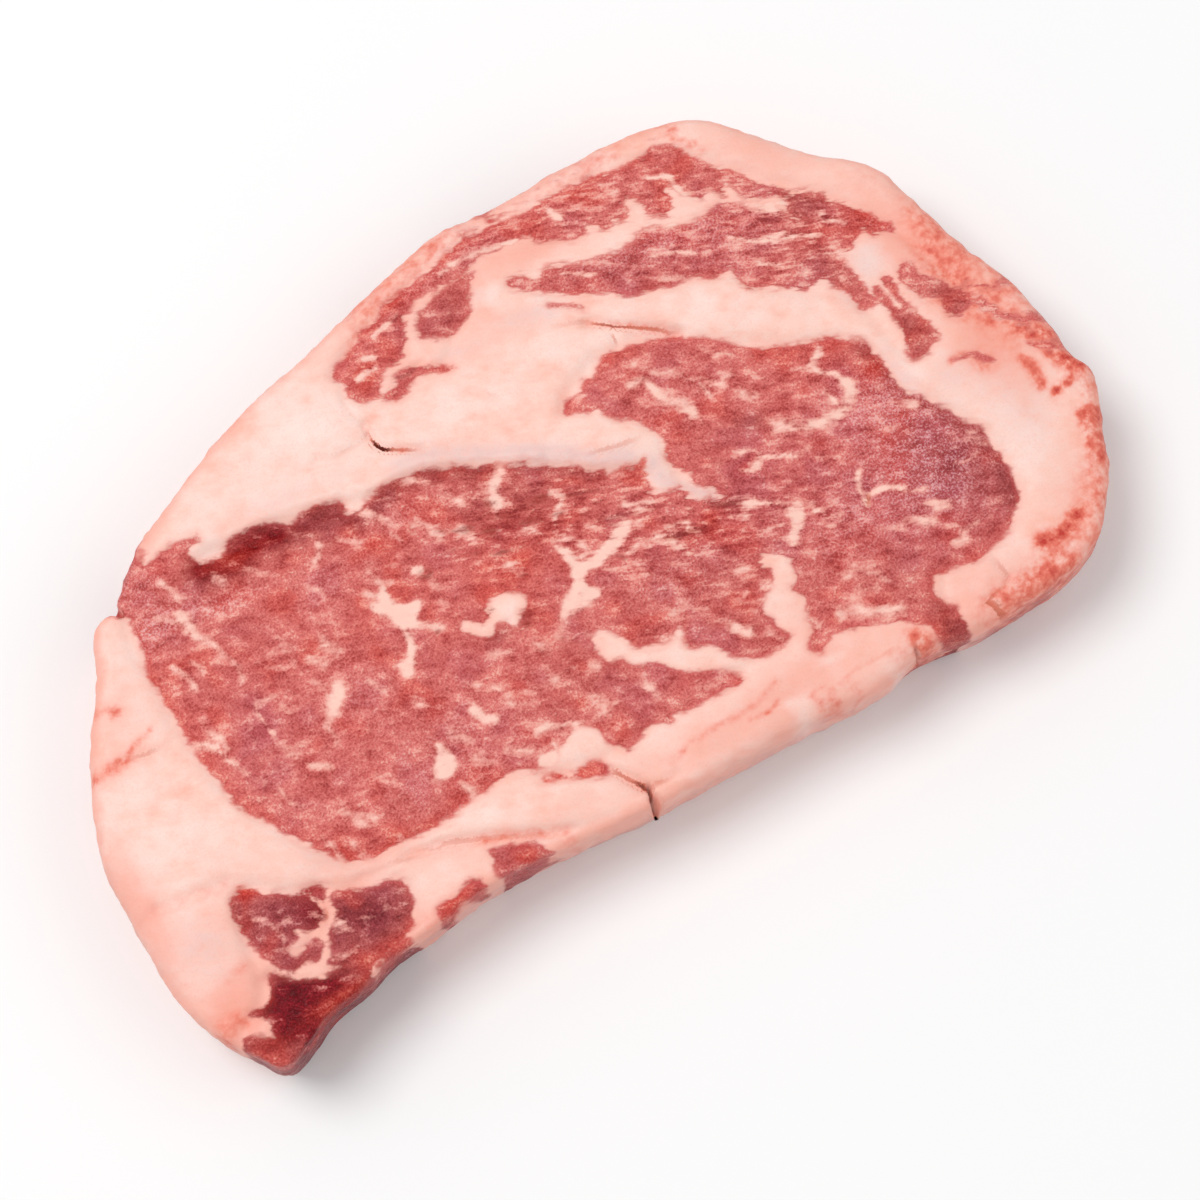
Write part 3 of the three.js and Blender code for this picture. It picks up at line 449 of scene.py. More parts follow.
# Lines of tone: strength, width, then the line.
TONE_LINES = {
    # maroon, and painted shade along creases and along the lean's edges under the fat
    "maroon_and_shade": [
        (1.15, 4.4, [(-57, 28.2), (-52, 26.4), (-46, 27.6), (-42, 26.4)]),
        (0.75, 3.8, [(-42, 26.4), (-38, 25), (-32, 25), (-28.6, 21.4)]),
        (0.6, 2.8, [(-26, 21.4), (-18, 22.4), (-10, 20.4), (-2, 15.8)]),
        (0.35, 2.4, [(-2, 15.8), (5, 11.4), (12, 5.6)]),
        (0.45, 1.6, [(18, -12), (21, -13.3), (26, -15)]),
        (0.5, 1.6, [(28, -11.4), (32, -13.5)]),
        (0.5, 3.4, [(68, -1), (70.5, -10), (73.6, -18), (76.6, -27)]),
        (0.6, 3.4, [(76.6, -27), (76.2, -34), (74.6, -39.6)]),
    ],
    "warm": [
        (0.4, 1.6, [(-73, 24), (-74.4, 14), (-74.2, 0), (-72.4, -12), (-67, -23), (-61, -31)]),
        (0.5, 1.4, [(-17, 47), (-8, 51.4), (3, 54.2), (16, 56.4), (34, 55), (52, 52.6)]),
    ],
    "silver": [
        (0.75, 2.6, [(-18, 25.6), (-11, 24.2), (-4, 20.4), (4, 15.8)]),
        (0.95, 2.8, [(4, 15.4), (10, 11.2), (15, 7), (20, 4.4)]),
        (0.9, 2.4, [(22.6, 1), (22.6, -3), (25.8, -7), (29, -10)]),
        (0.4, 1.6, [(33, 24.4), (38, 21)]),
    ],
    "blood": [
        (0.75, 2.4, [(90.5, -1), (93, -3), (95.5, -4.6)]),
        (0.7, 2.4, [(90.5, -4.6), (92.4, -8), (95, -11.6)]),
        (0.95, 3, [(94.5, -12), (96.2, -16), (97, -20), (98.6, -24.6)]),
        (0.6, 2.2, [(91.6, -18.6), (91.9, -21), (91.4, -24.6)]),
        (0.85, 1.6, [(92.6, -27.2), (94, -26.8), (96.4, -26.6)]),
        (0.43, 5, [(99.4, -26), (98.6, -31), (96, -37), (91.6, -42.4), (87, -46.4)]),
        (0.8, 3, [(95.4, -33.4), (94.2, -37), (92.4, -41)]),
        (0.45, 4.4, [(88.6, -46), (84, -50.4), (76, -52.4)]),
        (0.42, 4, [(100, -4), (99.6, -12), (100.4, -20)]),
        (1, 2.6, [(74.6, -49.6), (78, -50), (83.4, -48.6)]),
        (0.6, 4.6, [(57.5, -56), (63, -54.4), (70, -54.4), (76, -53.4)]),
        (0.75, 1.5, [(65.4, -55.8), (68, -55), (71, -54), (74.6, -54.8)]),
        (0.45, 1.2, [(-86, 5.6), (-83, 7), (-80, 7.6)]),
        (0.2, 2.6, [(-95.5, -20.8), (-89, -22.4), (-83, -23.4)]),
        (0.3, 1.6, [(-91, -38.6), (-87, -38)]),
        (0.4, 1.6, [(-15, 47.6), (-8, 52.4), (3, 55.6), (16, 58.4), (30, 57.4)]),
        (0.4, 1.6, [(30, 57.4), (46, 56), (58, 54.6), (64, 48)]),
        (0.55, 1, [(79.6, -12), (81.6, -11.6), (84, -13)]),
        (0.35, 2, [(-40, -41.5), (-33, -44.6), (-27, -48)]),
        (0.6, 1.1, [(8, -53.6), (16, -55.4), (24, -55.6), (32, -57)]),
        (0.45, 0.8, [(12, -48.6), (15.6, -49.2), (18, -48.4)]),
        (0.4, 0.8, [(22, -51.8), (25, -50.4), (27.4, -51.2)]),
        (0.3, 1.4, [(-4, -47.4), (4, -46.4), (12, -46.8), (20, -45.4)]),
        (0.3, 0.8, [(28, -52), (34, -51), (40, -51.6), (46, -50.6)]),
        (0.4, 1.2, [(29.4, 29), (34, 25.6), (40, 20)]),
    ],
}

# ---------------------------------------------------------------- relief of the cut face
# Grooves: depth, reach and a curve through plan points.
SEAMS = [
    (0.9, 1.7, [(-67, 34.5), (-73.6, 26), (-75, 14), (-75, -2), (-72.6, -14), (-67, -25),
                (-60, -32.6), (-46, -34.6), (-34, -34.2), (-23, -38), (-10, -41), (3, -41),
                (14, -40.6), (24, -40.5)]),
    (1, 1.5, [(-57, 30.6), (-50, 28.6), (-41, 27.6), (-30, 24.6), (-20, 22.8), (-10, 20.2),
              (-1, 14.8), (7, 9), (14, 4), (21, -0.6)]),
    (0.9, 1.5, [(14.5, 18), (19, 15), (26, 7), (26.5, 1), (26, -5), (30, -11)]),
    (1, 1.7, [(16, 20), (27, 23.5), (37, 21), (47, 13.4), (57, 6.5), (66, 2.5), (69.6, -5),
              (71.5, -14), (77.5, -27), (77, -39), (70, -44.5), (57, -45), (54, -50), (52, -55)]),
    (0.9, 1.6, [(28, 30), (33, 26), (40, 20)]),
    (0.8, 1.6, [(19.5, 44), (27, 37.5), (36, 31.5), (47, 27.2), (55, 24.5), (60, 17.5), (70, 11),
                (72.5, 5), (74, -7.5)]),
    (0.9, 1.6, [(-17.3, 47), (-8, 51.8), (3, 54.8), (16, 57), (34, 55.6), (52, 53), (62, 47),
                (71, 36), (79.5, 27), (86, 15.5), (90, -2)]),
    (0.7, 1.5, [(-17, 41.5), (-10, 37), (1, 37.5), (6, 42), (15, 50.5), (26, 50.5), (37, 45.5),
                (48, 44)]),
    (1, 1.6, [(-94, -48), (-87, -44), (-84.6, -33), (-81, -25.8), (-74, -31), (-66, -35.5),
              (-56, -39), (-57, -46), (-64, -49.3)]),
    (0.8, 1.4, [(-85, -42), (-79, -41.2), (-72, -38.5), (-70, -33)]),
    (1, 1.4, [(-52, -36.6), (-45, -38.6), (-36, -43), (-26, -48.2), (-18, -51)]),
    (1.1, 1.3, [(-25, -38), (-18, -41.3), (-14, -43.5), (-11, -48.5)]),
    (0.7, 1.4, [(-95, -21), (-88, -22.5), (-82, -23.4)]),
]
# Soft lobes: x, y, half-length, half-width and height.
LOBES = [
    (-86, -8, 11, 14, 0.9), (-91, -31, 6, 9, 0.7), (-70, -28, 6, 5, 0.4), (-25, 41, 10, 7, 0.7),
    (-3, 30, 13, 7, 0.8), (14, 24, 12, 9, 0.6), (20, 13, 6, 5, 0.6), (52, 17, 14, 6, 0.5),
    (80, -22, 8, 14, 0.6), (-30, -43, 12, 4, 0.5), (6, -48, 16, 6, 0.8), (34, -50, 10, 6, 0.7),
    (68, -50, 12, 5, 0.6), (-74, -40, 8, 6, 0.6), (-84, -49, 8, 4, 0.4), (40, 50, 18, 5, 0.4),
]
# Folds of skin and fat that stand up over the lean beside them: height, half-width and line.
FOLDS = [
    (0.5, 1.3, [(-54, 33), (-48, 31.4), (-42, 31), (-35, 29.4), (-29.6, 27.4)]),
    (0.45, 1.2, [(-24, 25), (-16, 24.6), (-8, 22.2), (0, 17.4), (6, 13.6)]),
    (0.55, 1.3, [(6, 13.6), (12, 9.4), (17, 5.6), (22, 3.4)]),
    (0.4, 1, [(22.4, 1), (22.4, -3), (25, -6.6), (28, -9)]),
    (0.35, 1.2, [(26, 5), (22, 13), (17, 17)]),
    (0.4, 1.4, [(60.6, -51), (63, -48.6), (65, -46)]),
    (0.4, 1.2, [(52.6, -54), (54.4, -55.4)]),
]
# Creases and splits: depth, half-width and a line of plan points, each with how dark it is painted:
# shade in the split, with some stain.
CREASES = [
    (1.3, 0.24, [(-17.4, 35.8, 0), (-17.9, 33.6, 0.6), (-17.8, 31.8, 1.1), (-17, 30, 1.2),
                 (-15.6, 28.9, 0.8), (-13.6, 27.6, 0.65), (-11, 26, 0)]),
    (0.5, 0.3, [(-17.4, 35.4, 0.12), (-18.6, 38.6, 0.16), (-18.4, 42, 0.12), (-17, 45, 0)]),
    (0.8, 0.2, [(26.8, 30.6, 0), (28.6, 29.9, 0.7), (30.4, 28.2, 0.9), (32.6, 26.4, 0.85),
                (35.4, 24.4, 0.75), (38, 22.3, 0.65), (41, 19.6, 0)]),
    (0.5, 0.2, [(30, 26.4, 0.1), (30.1, 25.2, 0.5), (29.6, 23.2, 0)]),
    (0.5, 0.35, [(12, 9.5, 0), (16, 8, 0.35), (22, 6.5, 0.3), (25, 6, 0)]),
    (0.5, 0.35, [(18.6, 34.4, 0), (23.4, 32.4, 0.25), (28, 30.4, 0.3)]),
    (0.5, 0.4, [(-28.7, 34.6, 0), (-25, 33.2, 0.2), (-18, 33.4, 0.2)]),
    (1.1, 0.3, [(-14.6, -42.4, 0), (-13.4, -43.6, 0.6), (-12.2, -46, 0.7), (-10.8, -48.4, 1),
                (-10.2, -49.6, 0.6)]),
    (0.6, 0.3, [(-10.4, -49, 0.3), (-8, -49.6, 0.4), (-4, -50, 0)]),
    (0.7, 0.35, [(-54, -36, 0), (-50, -37, 0.3), (-45, -38.5, 0.4), (-38, -42, 0.4),
                 (-32, -45.5, 0.3), (-25, -48.5, 0)]),
    (0.5, 0.4, [(-62, -35.2, 0), (-53, -36.6, 0.3), (-47, -37.6, 0)]),
    (0.35, 0.22, [(57.8, -55.6, 0), (58.6, -54.9, 0.5), (59.4, -53.9, 0.85), (60.8, -53.2, 0.6),
                  (63.4, -52.8, 0.35), (66.4, -51.8, 0)]),
    (0.6, 0.3, [(65.8, -46.8, 0), (65.7, -49.2, 0.35), (66, -51.6, 0.3)]),
    (0.5, 0.3, [(-87, 5.6, 0), (-83, 4.4, 0.4), (-78, 3.6, 0)]),
    (0.4, 0.35, [(3, 31.4, 0), (5, 28, 0.22), (6.8, 25, 0)]),
    (0.7, 0.36, [(-85, -41.4, 0), (-83.2, -43, 0.5), (-81, -45, 0)]),
    (0.8, 0.3, [(52, -27, 0), (52.6, -25.6, 0.9), (53.8, -24.4, 0)]),
    (0.6, 0.35, [(-10.4, 41.4, 0), (-6, 40, 0.5), (-2, 40.4, 0)]),
    (0.6, 0.32, [(-72.4, -39, 0), (-70.6, -38, 0.5), (-70, -35, 0)]),
    (0.6, 0.35, [(82.4, -53.4, 0), (85.4, -51.8, 0.6), (88, -49.4, 0)]),
    (0.5, 0.4, [(15, -11.6, 0), (18, -12.5, 0.5), (22, -13.6, 0.5), (27, -15.4, 0)]),
    (0.5, 0.36, [(27, -10.6, 0), (30, -12.4, 0.6), (34, -14.4, 0)]),
    (0.5, 0.36, [(4, 5.4, 0), (9, 3.2, 0.5), (15, 0.8, 0)]),
    (0.5, 0.36, [(6, -1.6, 0), (12, -4, 0.45), (19, -6.8, 0)]),
]
# Gaps between the fibres of the lean: x, y, half-length, half-width, turn and depth; the shader
# paints shade into them.
PITS = [
    (-12.6, 9, 3, 1, -22, 0.7), (-9.1, 6.2, 2.2, 0.9, -30, 0.8), (-1.9, 3.8, 2.6, 0.9, -22, 0.9),
    (1.3, 6.4, 2.6, 0.9, -12, 0.9), (-9.1, 1.6, 2.4, 0.8, -22, 0.7), (-13, 4.1, 2.4, 0.8, -15, 0.7),
    (-6.6, 10.8, 2, 0.8, -30, 0.7), (-8.3, -4.3, 1.3, 0.9, -30, 0.7), (-23, 5.6, 1.5, 1.1, 0, 1.1),
    (-17.1, -6.9, 1.2, 0.8, 20, 0.9), (-23.8, -9, 1.2, 0.7, 60, 0.6), (-27, -5, 1.4, 0.7, 60, 0.6),
    (-4.4, 0.2, 2.6, 0.7, -20, 0.6), (3.6, 1.8, 2, 0.7, -25, 0.6), (-16.8, 7, 2, 0.8, -20, 0.5),
    (-5.6, 7.4, 2, 0.7, -25, 0.6), (4.6, 8.8, 2, 0.7, -25, 0.5), (-16.6, 11, 2.2, 0.7, -25, 0.5),
    (10.4, -4.8, 1.6, 0.7, -30, 0.5), (8.6, -10.8, 1.4, 0.7, -40, 0.6),
    (-3.4, 12.6, 1.6, 0.7, -50, 0.5), (-20.6, 13.6, 2, 0.7, -20, 0.4),
    (6.8, 4.2, 1.8, 0.7, -20, 0.4), (14, 3.4, 1.6, 0.7, -30, 0.4), (-31.6, -2, 1, 2, 10, 0.4),
    (-12, -12.4, 1.4, 1, 0, 0.8), (-20, -11.4, 3, 0.9, -10, 0.6), (-8, -19, 2.4, 2, 0, 0.5),
    (-40, 25.8, 5, 1, -10, 0.5), (-34, 20, 1.6, 1, 0, 0.5),
]
# Notches in the rim: inner tip, two outer ends and the height of the floor.
NOTCHES = [
    ((-10.2, -48.8), (-12.6, -56), (-9.4, -56), 9),
    ((44.3, -53.4), (43.2, -59), (45.4, -59), 12),
    ((-73.2, 28.6), (-73.4, 33), (-76.2, 31.4), 14),
]


# ---------------------------------------------------------------- curves and distances
def smooth(points, closed, steps):
    """Points along a centripetal Catmull-Rom curve through the given ones."""
    p = np.array(points, float)
    if closed:
        before, start, after, later = np.roll(p, 1, 0), p, np.roll(p, -1, 0), np.roll(p, -2, 0)
    else:
        p = np.vstack([2 * p[0] - p[1], p, 2 * p[-1] - p[-2]])
        before, start, after, later = p[:-3], p[1:-2], p[2:-1], p[3:]
    gaps = [
        np.sqrt(np.linalg.norm(b - a, axis=1, keepdims=True)).clip(1e-4)
        for a, b in ((before, start), (start, after), (after, later))
    ]

    def slope(a, b, c, first, second):
        return ((b - a) / first - (c - a) / (first + second) + (c - b) / second) * gaps[1]

    leave = slope(before, start, after, gaps[0], gaps[1])
    arrive = slope(start, after, later, gaps[1], gaps[2])
    t = (np.arange(steps) / steps)[None, :, None]
    start_, after_, leave_, arrive_ = (a[:, None] for a in (start, after, leave, arrive))
    curve = (
        start_ + leave_ * t + (3 * (after_ - start_) - 2 * leave_ - arrive_) * t**2
        + (2 * (start_ - after_) + leave_ + arrive_) * t**3
    ).reshape(-1, p.shape[1])
    return curve if closed else np.vstack([curve, after[-1]])


def near(plan, line, reach):
    """Which plan points lie within reach of the box round a line."""
    low, high = line.min(0) - reach, line.max(0) + reach
    return np.flatnonzero(((plan > low) & (plan < high)).all(1))


def distance_to(plan, line, reach, closed=False):
    """Distance of each plan point from a line, or reach where it is further."""
    line = np.asarray(line, float)
    found = np.full(len(plan), float(reach))
    ends = np.roll(line, -1, 0) if closed else line[1:]
    for a, b in zip(line, ends):
        which = near(plan, np.array([a, b]), reach)
        if not len(which):
            continue
        offset, along = plan[which] - a, b - a
        share = (offset @ along / max(along @ along, 1e-9)).clip(0, 1)
        found[which] = np.minimum(
            found[which], np.linalg.norm(offset - share[:, None] * along, axis=1)
        )
    return found


def depth_inside(plan, loop, reach=6.0):
    """How deep each plan point lies inside a closed loop, negative outside it."""
    loop = smooth(loop, True, 3)
    which = near(plan, loop, 0.01)
    x, y = plan[which].T
    crossed = np.zeros(len(which), bool)
    for (ax, ay), (bx, by) in zip(loop, np.roll(loop, -1, 0)):
        if ay != by:
            crossed ^= ((ay > y) != (by > y)) & (x < (bx - ax) * (y - ay) / (by - ay) + ax)
    inside = np.zeros(len(plan), bool)
    inside[which] = crossed
    depth = distance_to(plan, loop, reach, closed=True)
    return np.where(inside, depth, -depth)


def blob(plan, x, y, half_long, half_wide, turn):
    """A soft ellipse: 1 in its middle, falling to nothing at about twice its half-lengths."""
    cos, sin = math.cos(math.radians(turn)), math.sin(math.radians(turn))
    dx, dy = plan[:, 0] - x, plan[:, 1] - y
    along, across = (dx * cos + dy * sin) / half_long, (dy * cos - dx * sin) / half_wide
    return np.exp(-(along**2) - across**2)


def stroke(plan, width, line):
    """A soft line: 1 in its middle and about a half at its edges."""
    gap = distance_to(plan, smooth(line, False, 4), 2 * width)
    return np.exp(-((gap / (0.7 * width)) ** 2)) * (gap < 2 * width)


def scramble(cells, seed):
    """A repeatable pseudo-random number for each whole-numbered cell."""
    x, y, z = (cells[:, i].astype(np.int64) & 0xFFFFFFFF for i in range(3))
    mixed = (x * 73856093) ^ (y * 19349663) ^ (z * 83492791) ^ (seed * 2654435761)
    mixed &= 0xFFFFFFFF
    for _ in range(2):
        mixed = ((mixed ^ (mixed >> 16)) * 0x45D9F3B) & 0xFFFFFFFF
    return mixed ^ (mixed >> 16)


def gradient_noise(places, seed):
    """Smooth noise about 0 with one feature to each unit of length."""
    cell = np.floor(places)
    part = places - cell
    ease = part**3 * (part * (part * 6 - 15) + 10)
    total = np.zeros(len(places))
    for corner in np.ndindex(2, 2, 2):
        mixed = scramble(cell + corner, seed)
        slope = np.stack([(mixed >> shift & 1023) / 511.5 - 1 for shift in (0, 10, 20)], 1)
        weight = np.where(np.array(corner) == 1, ease, 1 - ease).prod(1)
        total += weight * (slope * (part - corner)).sum(1)
    return total


OCTAVE_SHARE = 0.55  # of the octave before
SEED_SHIFT = 7.3
GRADIENT_SPREAD = 0.3  # brings one octave of gradient_noise to about 1


def waves(places, size, seed, octaves=2):
    """Noise about 0 and mostly within 1, with features of the given size in millimetres."""
    total, spread = np.zeros(len(places)), 0.0
    for octave in range(octaves):
        share = OCTAVE_SHARE**octave
        shifted = places * (2**octave / size) + SEED_SHIFT * seed
        total += share * gradient_noise(shifted, seed + octave)
        spread += share**2
    return total / (GRADIENT_SPREAD * math.sqrt(spread))


def smoothstep(value, low, high):
    t = ((value - low) / (high - low)).clip(0, 1)
    return t * t * (3 - 2 * t)


# ---------------------------------------------------------------- the slice's form
def outline_sides():
    """The four sides of the widest outline, opposite sides divided alike."""
    runs = [FRONT_EDGE, CAP_EDGE, BACK_EDGE, TAIL_EDGE]
    curve = smooth([p for run in runs for p in run], True, CURVE_STEPS)
    curve = np.vstack([curve, curve[:1]])
    sides, first = [], 0
    for side, run in enumerate(runs):
        last = first + len(run) * CURVE_STEPS
        part = curve[first:last + 1]
        travelled = np.concatenate([[0], np.linalg.norm(np.diff(part, axis=0), axis=1).cumsum()])
        wanted = np.linspace(0, travelled[-1], (CELLS_WIDE if side % 2 else CELLS_LONG) + 1)
        sides.append(np.stack([np.interp(wanted, travelled, c) for c in part.T], 1))
        first = last
    return sides


def inward(plan):
    """The way from each plan point straight in to the spine."""
    start, end = np.array(SPINE, float)
    along = end - start
    share = ((plan - start) @ along / (along @ along)).clip(0, 1)
    way = start + share[:, None] * along - plan
    return way / np.linalg.norm(way, axis=1, keepdims=True)


def patch(sides):
    """A grid of plan points spanned between four sides: rows from front to back."""
    front, right, back, left = sides
    back, left = back[::-1], left[::-1]
    u = np.linspace(0, 1, len(front))[None, :, None]
    v = np.linspace(0, 1, len(right))[:, None, None]
    across = left[:, None] * (1 - u) + right[:, None] * u
    along = front[None] * (1 - v) + back[None] * v
    corners = (
        (front[0] * (1 - u) + front[-1] * u) * (1 - v) + (back[0] * (1 - u) + back[-1] * u) * v
    )
    grid = across + along - corners
    for _ in range(RELAX_STEPS):
        grid[1:-1, 1:-1] = (
            grid[:-2, 1:-1] + grid[2:, 1:-1] + grid[1:-1, :-2] + grid[1:-1, 2:]
        ) / 4
    return grid


def face_relief(plan):
    """Slow waves, lobes and seams of the upper face, as in the solid."""
    x, y = plan.T
    from_eye = (plan - EYE_MIDDLE) / EYE_REACH
    height = FACE_WAVE * (
        np.sin(x / 31 + 0.6) * np.cos(y / 23 - 0.4) + 0.5 * np.sin(x / 13 - y / 17)
    )
    height += EYE_CROWN * np.exp(-(from_eye**2).sum(1))
    for lobe_x, lobe_y, half_long, half_wide, rise in LOBES:
        height += rise * blob(plan, lobe_x, lobe_y, half_long, half_wide, 0)
    for depth, reach, line in SEAMS:
        gap = distance_to(plan, smooth(line, False, 3), 4 * reach)
        height -= depth * np.exp(-((gap / reach) ** 2))
    return height


def notch_share(plan, tip, left, right):
    """1 inside a notch's plan triangle, falling to 0 just outside it."""
    share = np.ones(len(plan))
    loop = np.array([tip, left, right], float)
    centre = loop.mean(0)
    for a, b in zip(loop, np.roll(loop, -1, 0)):
        normal = np.array([-(b - a)[1], (b - a)[0]])
        normal /= np.linalg.norm(normal)
        if normal @ (centre - a) < 0:
            normal = -normal
        share = np.minimum(share, smoothstep((plan - a) @ normal, *NOTCH_EDGE))
    return share


# ---------------------------------------------------------------- masks painted on the mesh
def lean_depth(plan):
    """Millimetres inside lean, negative inside fat."""
    depth = np.full(len(plan), -6.0)
    for loop in MUSCLES:
        depth = np.maximum(depth, depth_inside(plan, loop))
    for width, line in LEAN_THREADS:
        depth = np.maximum(depth, width / 2 - distance_to(plan, smooth(line, False, 4), 6))
    return np.minimum(depth, -depth_inside(plan, CHUNK))


def wisps():
    """Short pale threads over the eye: steep on its left, along the fibres on its right."""
    shares = np.random.default_rng(21).random((WISP_COUNT, 6))
    for along, up, turn, length, width, strength in shares:
        x, y = WISP_CORNER[0] + WISP_SPAN[0] * along, WISP_CORNER[1] + WISP_SPAN[1] * up
        angle = math.radians(-74 + 48 * along + 50 * (turn - 0.5))
        dx, dy = (1 + 1.6 * length) * np.array([math.cos(angle), math.sin(angle)])
        bend = 0.3 * (turn - strength)
        line = [(x - dx, y - dy), (x + bend * dy, y - bend * dx), (x + dx, y + dy)]
        yield 0.3 + 0.5 * strength, 0.9 + 1.1 * width, line


def marbling(plan):
    """Where fat runs through the lean: 1 in a plain vein, less where it is broken up."""
    found = np.zeros(len(plan))
    for strength, width, line in [*VEINS, *wisps()]:
        found = np.maximum(found, strength * stroke(plan, width, line))
    for strength, loop in MARBLE_LOOPS:
        found = np.maximum(found, strength * smoothstep(depth_inside(plan, loop), -1.2, 0.9))
    for *place, strength in CLOUDS:
        found = np.maximum(found, strength * blob(plan, *place))
    return found


def crease_field(plan):
    """The nearest crease: signed distance in its half-widths, and how dark it is painted (shade in
    the split, with some stain).
    """
    fade_from, fade_to, far = 0.7, 1.3, 6.0
    gap, side, dark = np.full(len(plan), fade_to), np.full(len(plan), far), np.zeros(len(plan))
    for _, half_width, line in CREASES:
        curve = smooth(line, False, 4)
        for start, end in zip(curve, curve[1:]):
            a, along = start[:2], end[:2] - start[:2]
            which = near(plan, np.array([a, a + along]), fade_to)
            offset = plan[which] - a
            share = (offset @ along / (along @ along)).clip(0, 1)
            away = np.linalg.norm(offset - share[:, None] * along, axis=1)
            closer = away < gap[which]
            which, share, away = which[closer], share[closer], away[closer]
            left = along[0] * offset[closer, 1] - along[1] * offset[closer, 0] > 0
            gap[which] = away
            side[which] = np.where(left, away, -away) / half_width
            dark[which] = start[2] + share * (end[2] - start[2])
    return side.clip(-far, far), dark * (1 - smoothstep(gap, fade_from, fade_to))


def painted(plan, places, rim):
    """All masks at plan points, by name."""
    masks = {"lean": lean_depth(plan), "marble": marbling(plan), "rim": rim}
    for name, blobs in TONES.items():
        masks[name] = sum(strength * blob(plan, *place) for *place, strength in blobs)
        for strength, width, line in TONE_LINES.get(name, ()):
            masks[name] = np.maximum(masks[name], strength * stroke(plan, width, line))
    masks["crease"], masks["crease_shade_and_stain"] = crease_field(plan)
    masks["gap"] = np.zeros(len(plan))
    for *place, depth in PITS:
        masks["gap"] = np.maximum(masks["gap"], 0.9 * depth * blob(plan, *place))
    masks["clusters"] = waves(places, CLUSTER_SIZE, 31)
    masks["broad"] = waves(places, BROAD_SIZE, 37)
    return masks


def fine_relief(places, masks):
    """What the solid is too coarse for: creases, gaps, folds, proud fat and the cut's grain."""
    plan = places[:, :2]
    height = FAT_STEP * smoothstep(-masks["lean"], -0.5, 0.9)
    height += VEIN_STEP * smoothstep(masks["marble"], 0.3, 0.9)
    for depth, half_width, line in CREASES:
        reach = half_width + CREASE_WIDEN
        gap = distance_to(plan, smooth(line, False, 4)[:, :2], 4 * reach)
        height -= CREASE_SHARE * depth * np.exp(-((gap / reach) ** 2))
    for *place, depth in PITS:
        height -= PIT_SHARE * depth * blob(plan, *place)
    for rise, half_width, line in FOLDS:
        gap = distance_to(plan, smooth(line, False, 4), 4 * half_width)
        height += rise * np.exp(-((gap / half_width) ** 2))
    is_lean = smoothstep(masks["lean"], -0.3, 0.5)
    height += (LEAN_GRAIN * is_lean + FAT_GRAIN) * waves(places, GRAIN_SIZE, 1, 3)
    height += SWELL * waves(places, SWELL_SIZE, 2)
    height += CHUNK_RISE * blob(plan, *CHUNK_PLACE)
    return height


# ---------------------------------------------------------------- the mesh
def wall_rings(roll, rim_height, angle):
    """Inset from the widest line and height of each ring, from the top edge to the foot."""
    rings = []
    for k in range(1, ROLL_STEPS + 1):
        turn = math.pi / 2 * k / ROLL_STEPS
        rings.append((roll * (1 - math.sin(turn)), rim_height - roll * (1 - math.cos(turn))))
    top = rim_height - roll
    for k in range(1, WALL_STEPS + 1):
        share = k / WALL_STEPS
        belly = math.sin(math.pi * share)
        wave = WALL_WAVE * np.sin(9 * angle + 4 * share)
        rings.append((
            FOOT_INSET * share - (WALL_SWELL + wave) * belly, top + (FOOT_ROLL - top) * share
        ))
    for k in range(1, FOOT_STEPS + 1):
        turn = math.pi / 2 * k / FOOT_STEPS
        inset = FOOT_INSET + FOOT_ROLL * (1 - math.cos(turn))
        height = FOOT_ROLL * (1 - math.sin(turn))
        rings.append((np.full(len(roll), inset), np.full(len(roll), height)))
    return rings


def border(index):
    """The indices round a grid, against the clock."""
    return np.concatenate([index[0, :-1], index[:-1, -1], index[-1, :0:-1], index[:0:-1, 0]])


def quads(index):
    corners = index[:-1, :-1], index[:-1, 1:], index[1:, 1:], index[1:, :-1]
    return list(zip(*(corner.ravel().tolist() for corner in corners)))


